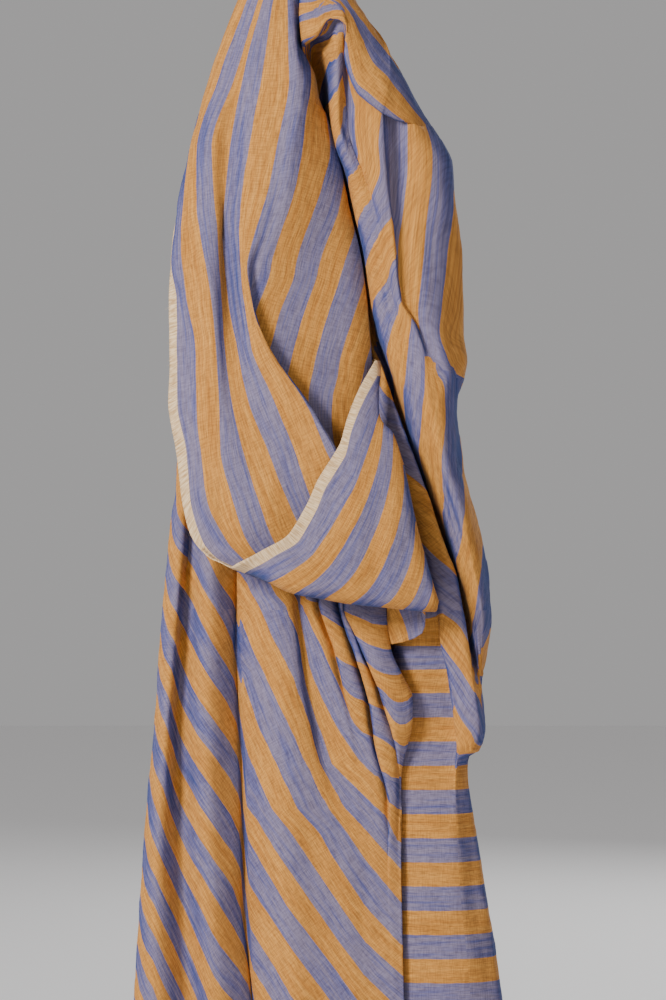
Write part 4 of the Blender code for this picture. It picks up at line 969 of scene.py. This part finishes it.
def crumpled(grid):
    """The grid with its creases and its slight unevenness."""
    place = grid[:, :, :3]
    normal = np.cross(np.gradient(place, axis=0), np.gradient(place, axis=1))
    normal /= np.linalg.norm(normal, axis=2, keepdims=True) + 1e-9
    outward = np.where(normal[:, :, 1:2] > 0, -normal, normal)
    front = np.clip(-place[:, :, 1] / 6 + 1.5, 0, 1)
    height = crease_height(place[:, :, 0], -place[:, :, 2]) * front
    for i, j in np.ndindex(height.shape):
        x, y, z = place[i, j]
        for shift, (length_x, length_y, length_z, rise) in enumerate(RIPPLES):
            spot = Vector((x / length_x + 9 * shift, y / length_y, z / length_z))
            height[i, j] += rise * noise.noise(spot)
    grown = grid.copy()
    grown[:, :, :3] += outward * height[:, :, None]
    return grown


body = crumpled(body)
flap = crumpled(flap)
hem = crumpled(hem)
flap[:, 0] = body[:len(flap), -1]
hem[:, 0] = body[-len(hem):, -1]
print("creases:", len(CREASES))

# %% [markdown]
# ## Which way the threads run
# The stripe count already follows the warp threads. The weft runs square to them,
# so its coordinate has to grow along the stripes. It is found by stepping from
# point to point and evening out the differences until they fit best.

# %% The weft coordinate
STRIPE_WIDTH = 16.0         # millimetres of cloth
ROUNDS = 500                # steps of the solver


def conjugate_steps(right_side, apply, rounds):
    """Solve apply(x) = right_side by conjugate gradients."""
    x = np.zeros_like(right_side)
    rest = right_side - apply(x)
    step = rest.copy()
    size = np.sum(rest * rest)
    for _ in range(rounds):
        image = apply(step)
        share = size / max(np.sum(step * image), 1e-12)
        x += share * step
        rest -= share * image
        new_size = np.sum(rest * rest)
        step = rest + new_size / max(size, 1e-12) * step
        size = new_size
    return x


def weft_of(grid):
    """Millimetres along the warp at every point of a grid."""
    place = grid[:, :, :3]
    warp = grid[:, :, 3] * STRIPE_WIDTH
    across_step = np.gradient(place, axis=0)
    down_step = np.gradient(place, axis=1)
    warp_across = np.gradient(warp, axis=0)
    warp_down = np.gradient(warp, axis=1)
    normal = np.cross(across_step, down_step)
    area = np.linalg.norm(normal, axis=2, keepdims=True) + 1e-9
    uphill = (np.cross(down_step, normal / area) * warp_across[:, :, None]
              + np.cross(normal / area, across_step) * warp_down[:, :, None]) / area
    uphill /= np.linalg.norm(uphill, axis=2, keepdims=True) + 1e-9
    along = np.cross(uphill, normal / area)
    want_across = np.sum(along * across_step, axis=2)
    want_down = np.sum(along * down_step, axis=2)
    want_across = (want_across[1:] + want_across[:-1]) / 2
    want_down = (want_down[:, 1:] + want_down[:, :-1]) / 2

    def spread_out(field):
        total = 1e-6 * field
        slope = np.diff(field, axis=0)
        total[:-1] -= slope
        total[1:] += slope
        slope = np.diff(field, axis=1)
        total[:, :-1] -= slope
        total[:, 1:] += slope
        return total

    right_side = np.zeros_like(warp)
    right_side[:-1] -= want_across
    right_side[1:] += want_across
    right_side[:, :-1] -= want_down
    right_side[:, 1:] += want_down
    return conjugate_steps(right_side, spread_out, ROUNDS)


grids = [body, flap, hem]
wefts = [weft_of(grid) for grid in grids]
print("weft spans", [round(float(np.ptp(weft))) for weft in wefts], "mm")

# %% [markdown]
# ## Building the mesh
# The three grids share their seam points, so merging doubles makes them one sheet.
# The warp and weft coordinates go into a UV map, in metres, so that every pattern
# can be given in real sizes.

# %% One sheet of linen
MM = 0.001


def painted_side_shade(grid):
    """0 where the cloth faces forwards or back, 1 where a fold's side turns away. It is painted shade, which
    deepens the blue there.
    """
    normal = np.cross(np.gradient(grid[:, :, :3], axis=0), np.gradient(grid[:, :, :3], axis=1))
    facing = np.abs(normal[:, :, 1]) / (np.linalg.norm(normal, axis=2) + 1e-9)
    return np.clip((0.85 - facing) / 0.6, 0, 1)


def cloth_mesh():
    """The sheet as a mesh with its warp and weft in a UV map."""
    mesh = bmesh.new()
    threads = mesh.loops.layers.uv.new("threads")
    # This colour layer holds the undyed selvedge and the painted shade on fold sides that turn away.
    selvedge_and_shade = mesh.loops.layers.float_color.new("selvedge_and_painted_shade")
    for grid, weft in zip(grids, wefts):
        lines_before = before if grid is body else 0
        first_column = column_of(SKIRT, "panel behind the fold", lines_before)
        last_column = column_of(SKIRT, "right side", lines_before)
        seam_column = column_of(SKIRT, "valley's far wall", lines_before) - 1
        folds_column = column_of(FRONT, "small fold's crease", lines_before + len(SKIRT))
        # Painted shade: a fold's side that turns away from the front gets a deeper blue.
        turned = painted_side_shade(grid)
        points = [[mesh.verts.new(point[:3] * MM) for point in column] for column in grid]
        for i in range(len(points) - 1):
            for j in range(len(points[0]) - 1):
                corners = ((i, j), (i, j + 1), (i + 1, j + 1), (i + 1, j))
                face = mesh.faces.new([points[a][b] for a, b in corners])
                face.smooth = True
                selvedge = float(grid is not hem and i < STRIPS)
                for loop, (a, b) in zip(face.loops, corners):
                    stripe = grid[a, b, 3]
                    if grid is not flap and (first_column <= i < last_column or i == seam_column
                                             or i >= folds_column):
                        stripe += 2 * round((grid[i, j, 3] - stripe) / 2)
                    loop[threads].uv = (stripe * STRIPE_WIDTH * MM, weft[a, b] * MM)
                    # The second channel is the painted shade on a fold's turned side.
                    loop[selvedge_and_shade] = (selvedge, turned[a, b], 0.0, 1.0)
    bmesh.ops.remove_doubles(mesh, verts=mesh.verts, dist=0.00001)
    data = bpy.data.meshes.new("linen")
    mesh.to_mesh(data)
    mesh.free()
    return data


cloth = bpy.data.objects.new("striped_linen", cloth_mesh())
bpy.context.collection.objects.link(cloth)
print("sheet faces:", len(cloth.data.polygons))

# %% [markdown]
# ## Colours and nodes
# Colours are given as sRGB, as a screen shows them. They were chosen by comparing the
# render with the photograph. Shaders work in linear light, so one function turns the
# first into the second. Materials and Geometry
# Nodes are both built from nodes. A second small function adds any kind of node
# with its settings and links, which keeps the trees below short enough to read.

# %% Colours and one small node helper
def hex_colour(text):
    """An sRGB hex colour as the linear values that shaders use."""
    parts = [int(text[i:i + 2], 16) / 255 for i in (1, 3, 5)]
    return tuple(p / 12.92 if p <= 0.04045 else ((p + 0.055) / 1.055) ** 2.4 for p in parts) + (1.0,)


def add_node(tree, kind, inputs=(), stops=(), **settings):
    """Add a node, set its properties and colour stops, fill or link its inputs, and return its outputs."""
    node = tree.nodes.new(kind)
    for name, value in settings.items():
        setattr(node, name, value)
    for i, (position, colour) in enumerate(stops):
        elements = node.color_ramp.elements
        stop = elements[i] if i < 2 else elements.new(position)
        stop.position = position
        stop.color = hex_colour(colour)
    for name, value in dict(inputs).items():
        if isinstance(value, bpy.types.NodeSocket):
            tree.links.new(value, node.inputs[name])
        else:
            node.inputs[name].default_value = value
    return node.outputs


print("blue yarn:", [round(v, 3) for v in hex_colour("#4A5590")])

# %% [markdown]
# ## Yarn-dyed linen
# The linen is woven from yarns that were dyed first: ochre, and a blue. Painted shade
# makes the blue darker where a fold turns away. The stripe is worked out from the warp coordinate.
# Flax yarn is uneven, so long thin noise along the warp gives its slubs, and the
# same noise turned round gives the weft. Linen is matt: rough, with little gloss
# and a trace of sheen from the loose fibres on its face.

# %% The linen's material
# How many grains of noise to the metre, across the warp and along it, and its detail.
# The record takes 17 or 18 yarns to the centimetre. 13 are drawn, so that they show.
# A grain of slub is 2.6 mm by 42 mm. Slubs change the colour alone.
YARN_NOISE = {
    "wander of the stripes' edges": (0.0, 60.0, 2.0),
    "warp yarns": (1300.0, 130.0, 2.0),
    "slubs": (380.0, 24.0, 3.0),
    "weft yarns": (130.0, 1300.0, 2.0),
}


def linen_material():
    """Woven stripes of dyed flax, with slubs, a plain weave, an undyed selvedge and painted shade on the
    turned sides of folds.
    """
    material = bpy.data.materials.new("striped_linen")
    material.use_nodes = True
    tree = material.node_tree
    tree.nodes.clear()
    sum_node, ramp = "ShaderNodeMath", "ShaderNodeValToRGB"
    threads = add_node(tree, "ShaderNodeUVMap", uv_map="threads")[0]
    grains = []
    for across_warp, along_warp, detail in YARN_NOISE.values():
        stretched = add_node(tree, "ShaderNodeMapping", {0: threads, 3: (across_warp, along_warp, 1.0)})[0]
        grains.append(add_node(tree, "ShaderNodeTexNoise", {
            "Vector": stretched, "Scale": 1.0, "Detail": detail, "Roughness": 0.6}, noise_dimensions="2D")[0])
    wander, yarns, slubs, weft = grains

    # A pair of stripes is one blue and one ochre. Their edges wander by half a yarn or so.
    warp = add_node(tree, "ShaderNodeSeparateXYZ", {0: threads})[0]
    shift = add_node(tree, sum_node, {0: wander, 1: 0.0009, 2: -0.00045}, operation="MULTIPLY_ADD")[0]
    warp = add_node(tree, sum_node, {0: warp, 1: shift}, operation="ADD")[0]
    pair = add_node(tree, sum_node, {0: warp, 1: 2 * STRIPE_WIDTH * MM}, operation="DIVIDE")[0]
    pair = add_node(tree, sum_node, {0: pair}, operation="FRACT")[0]
    is_ochre = add_node(tree, sum_node, {0: pair, 1: 0.5}, operation="GREATER_THAN")[0]

    # Slubs take the blue from a greyer shade to a deeper one, and painted shade makes a fold's turned side
    # deeper too.
    selvedge_and_shade = add_node(tree, "ShaderNodeAttribute", attribute_name="selvedge_and_painted_shade")["Color"]
    selvedge, turned = add_node(tree, "ShaderNodeSeparateColor", {0: selvedge_and_shade})[:2]
    depth = add_node(tree, sum_node, {0: slubs, 1: 1.6, 2: -0.7}, operation="MULTIPLY_ADD")[0]
    depth = add_node(tree, sum_node, {0: turned, 1: 0.8, 2: depth}, operation="MULTIPLY_ADD")[0]
    blue = add_node(tree, ramp, {0: depth}, ((0.0, "#82788F"), (0.45, "#615F8C"), (0.9, "#35457F")))[0]
    ochre = add_node(tree, ramp, {0: slubs}, ((0.3, "#B97A34"), (0.7, "#D49546")))[0]
    warp_shade = add_node(tree, ramp, {0: yarns}, (
        (0.30, "#C6C4CC"), (0.55, "#F4F4F4"), (0.75, "#FFFFFF")))[0]
    weft_shade = add_node(tree, ramp, {0: weft}, ((0.30, "#CFCBD0"), (0.62, "#FFFFFF")))[0]
    undyed = add_node(tree, ramp, {0: weft}, ((0.3, "#AE8A60"), (0.65, "#DFC197")))[0]
    colour = blue
    for share, layer, way in ((is_ochre, ochre, "MIX"), (0.8, warp_shade, "MULTIPLY"),
                              (0.6, weft_shade, "MULTIPLY"), (selvedge, undyed, "MIX")):
        colour = add_node(tree, "ShaderNodeMix", {0: share, 6: colour, 7: layer},
                          data_type="RGBA", blend_type=way)[2]

    # The yarns' relief is a bump map alone. The mesh has no yarns.
    grain = add_node(tree, sum_node, {0: yarns, 1: weft}, operation="ADD")[0]
    grain = add_node(tree, sum_node, {0: grain, 1: 0.6}, operation="MULTIPLY")[0]
    bump = add_node(tree, "ShaderNodeBump", {"Strength": 0.55, "Distance": 0.0006, "Height": grain})[0]
    shader = add_node(tree, "ShaderNodeBsdfPrincipled", {
        "Base Color": colour, "Roughness": 0.88, "Specular IOR Level": 0.18, "Sheen Weight": 0.06,
        "Sheen Roughness": 0.5, "Normal": bump})[0]
    add_node(tree, "ShaderNodeOutputMaterial", {0: shader})
    return material


cloth.data.materials.append(linen_material())
print("material:", cloth.data.materials[0].name)

# %% [markdown]
# ## Thickness
# The cloth is drawn a little over half a millimetre thick, which is a guess. Solidify
# gives the sheet its thickness and closes its edges. It is applied, so that the
# finished mesh is plain geometry.

# %% Give the cloth its thickness
CLOTH_THICKNESS = 0.7       # millimetres


def applied(piece):
    """Replace an object's mesh by the result of its modifiers."""
    shown = piece.evaluated_get(bpy.context.evaluated_depsgraph_get())
    data = bpy.data.meshes.new_from_object(shown)
    piece.modifiers.clear()
    piece.data = data


thicken = cloth.modifiers.new("thickness", "SOLIDIFY")
thicken.thickness = CLOTH_THICKNESS * MM
thicken.offset = 0.0
thicken.use_quality_normals = True
applied(cloth)
print("faces with thickness:", len(cloth.data.polygons))

# %% [markdown]
# ## Loose fibres
# Short ends of fibre stand out along the selvedge of any linen. They repeat at
# random, so Geometry Nodes places them: it turns the selvedge into points, puts one
# thin cone on each, and turns and shortens each by chance, with a fixed seed.

# %% Fibres along the selvedge
edge = np.concatenate([body[0, ::2, :3], flap[0, 1:, :3]]) * MM
edge_line = bpy.data.meshes.new("selvedge_line")
edge_line.from_pydata(edge.tolist(), [(i, i + 1) for i in range(len(edge) - 1)], [])
fibres = bpy.data.objects.new("selvedge_fibres", edge_line)
bpy.context.collection.objects.link(fibres)

tree = bpy.data.node_groups.new("fibres_along_a_line", "GeometryNodeTree")
tree.interface.new_socket("Geometry", in_out="INPUT", socket_type="NodeSocketGeometry")
sizes = {}
for name, kind, value in (
        ("Spacing", "Float", 0.0035), ("Fibre Length", "Float", 0.0032), ("Seed", "Int", 7)):
    socket = tree.interface.new_socket(name, in_out="INPUT", socket_type="NodeSocket" + kind)
    sizes[socket.identifier] = value
tree.interface.new_socket("Geometry", in_out="OUTPUT", socket_type="NodeSocketGeometry")
group = add_node(tree, "NodeGroupInput")
curve = add_node(tree, "GeometryNodeMeshToCurve", {0: group[0]})[0]
points = add_node(tree, "GeometryNodeCurveToPoints", {0: curve, "Length": group["Spacing"]}, mode="LENGTH")[0]
fibre = add_node(tree, "GeometryNodeMeshCone", {
    "Vertices": 3, "Radius Top": 0.00003, "Radius Bottom": 0.00007, "Depth": group["Fibre Length"]})[0]
chance = "FunctionNodeRandomValue"
turn = add_node(tree, chance, {
    0: (-2.6, -2.6, -3.1), 1: (2.6, 2.6, 3.1), "Seed": group["Seed"]}, data_type="FLOAT_VECTOR")[0]
scale = add_node(tree, chance, {2: 0.3, 3: 1.0, "Seed": group["Seed"]}, data_type="FLOAT")[1]
placed = add_node(tree, "GeometryNodeInstanceOnPoints", {
    "Points": points, "Instance": fibre, "Rotation": turn, "Scale": scale})[0]
real = add_node(tree, "GeometryNodeRealizeInstances", {0: placed})[0]


def plain_material(name, colour, roughness):
    """A matt material of one colour."""
    material = bpy.data.materials.new(name)
    material.use_nodes = True
    inputs = material.node_tree.nodes["Principled BSDF"].inputs
    inputs["Base Color"].default_value = hex_colour(colour)
    inputs["Roughness"].default_value = roughness
    return material


# Undyed flax, as in the selvedge: pale straw, and matt because its fibres are rough.
flax = plain_material("undyed_flax", "#CFB48A", 0.9)
painted = add_node(tree, "GeometryNodeSetMaterial", {0: real, "Material": flax})[0]
add_node(tree, "NodeGroupOutput", {0: painted})
scatter = fibres.modifiers.new("fibres", "NODES")
scatter.node_group = tree
for identifier, value in sizes.items():
    scatter[identifier] = value
applied(fibres)
print("fibres:", len(fibres.data.polygons), "faces")

# %% [markdown]
# ## Floor, light and camera
# The cloth hangs over a plain pale studio floor. A large soft key light from the
# upper left makes its folds read, a weak fill from the right keeps their shadows
# open, and a light from behind picks out the right edge. The camera looks level at
# the cloth from 2.4 m, through a long lens.

# %% Studio
world = bpy.data.worlds.new("studio")
world.use_nodes = True
world.node_tree.nodes["Background"].inputs[0].default_value = hex_colour("#F4F2F2")
world.node_tree.nodes["Background"].inputs[1].default_value = 0.42
bpy.context.scene.world = world


def soft_light(name, place, aim, size, power):
    """A square area light that points at a place."""
    data = bpy.data.lights.new(name, "AREA")
    data.size = size
    data.energy = power
    light = bpy.data.objects.new(name, data)
    light.location = place
    light.rotation_euler = (Vector(aim) - Vector(place)).to_track_quat("-Z", "Y").to_euler()
    bpy.context.collection.objects.link(light)


middle = (0, 0, -0.4)
soft_light("key_light", (-1.7, -1.9, 0.6), middle, 0.7, 105)
soft_light("fill_light", (1.8, -2.0, 0.1), middle, 1.6, 9)
soft_light("back_light", (0.9, 2.4, 0.6), middle, 1.4, 26)

floor_mesh = bpy.data.meshes.new("studio_floor")
floor_mesh.from_pydata([(-6, -6, -0.9), (6, -6, -0.9), (6, 6, -0.9), (-6, 6, -0.9)], [], [(0, 1, 2, 3)])
floor = bpy.data.objects.new("studio_floor", floor_mesh)
bpy.context.collection.objects.link(floor)
# Matt paint, pale grey.
floor_mesh.materials.append(plain_material("pale_studio_floor", "#F2F1F1", 0.5))

camera_data = bpy.data.cameras.new("camera")
camera_data.sensor_fit = "VERTICAL"
camera_data.sensor_height = 36
camera_data.lens = 129.5
camera = bpy.data.objects.new("camera", camera_data)
camera.location = (0.024, -2.4, -0.373)
camera.rotation_euler = (math.radians(90), 0, 0)
bpy.context.collection.objects.link(camera)
bpy.context.scene.camera = camera
print("camera at", tuple(round(v, 3) for v in camera.location))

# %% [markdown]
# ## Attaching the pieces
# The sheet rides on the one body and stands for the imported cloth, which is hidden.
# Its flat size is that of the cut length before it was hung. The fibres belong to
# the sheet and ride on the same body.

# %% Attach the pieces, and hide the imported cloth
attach(cloth, "root")
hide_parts(CLOTH_NODE)
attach(fibres, "root")
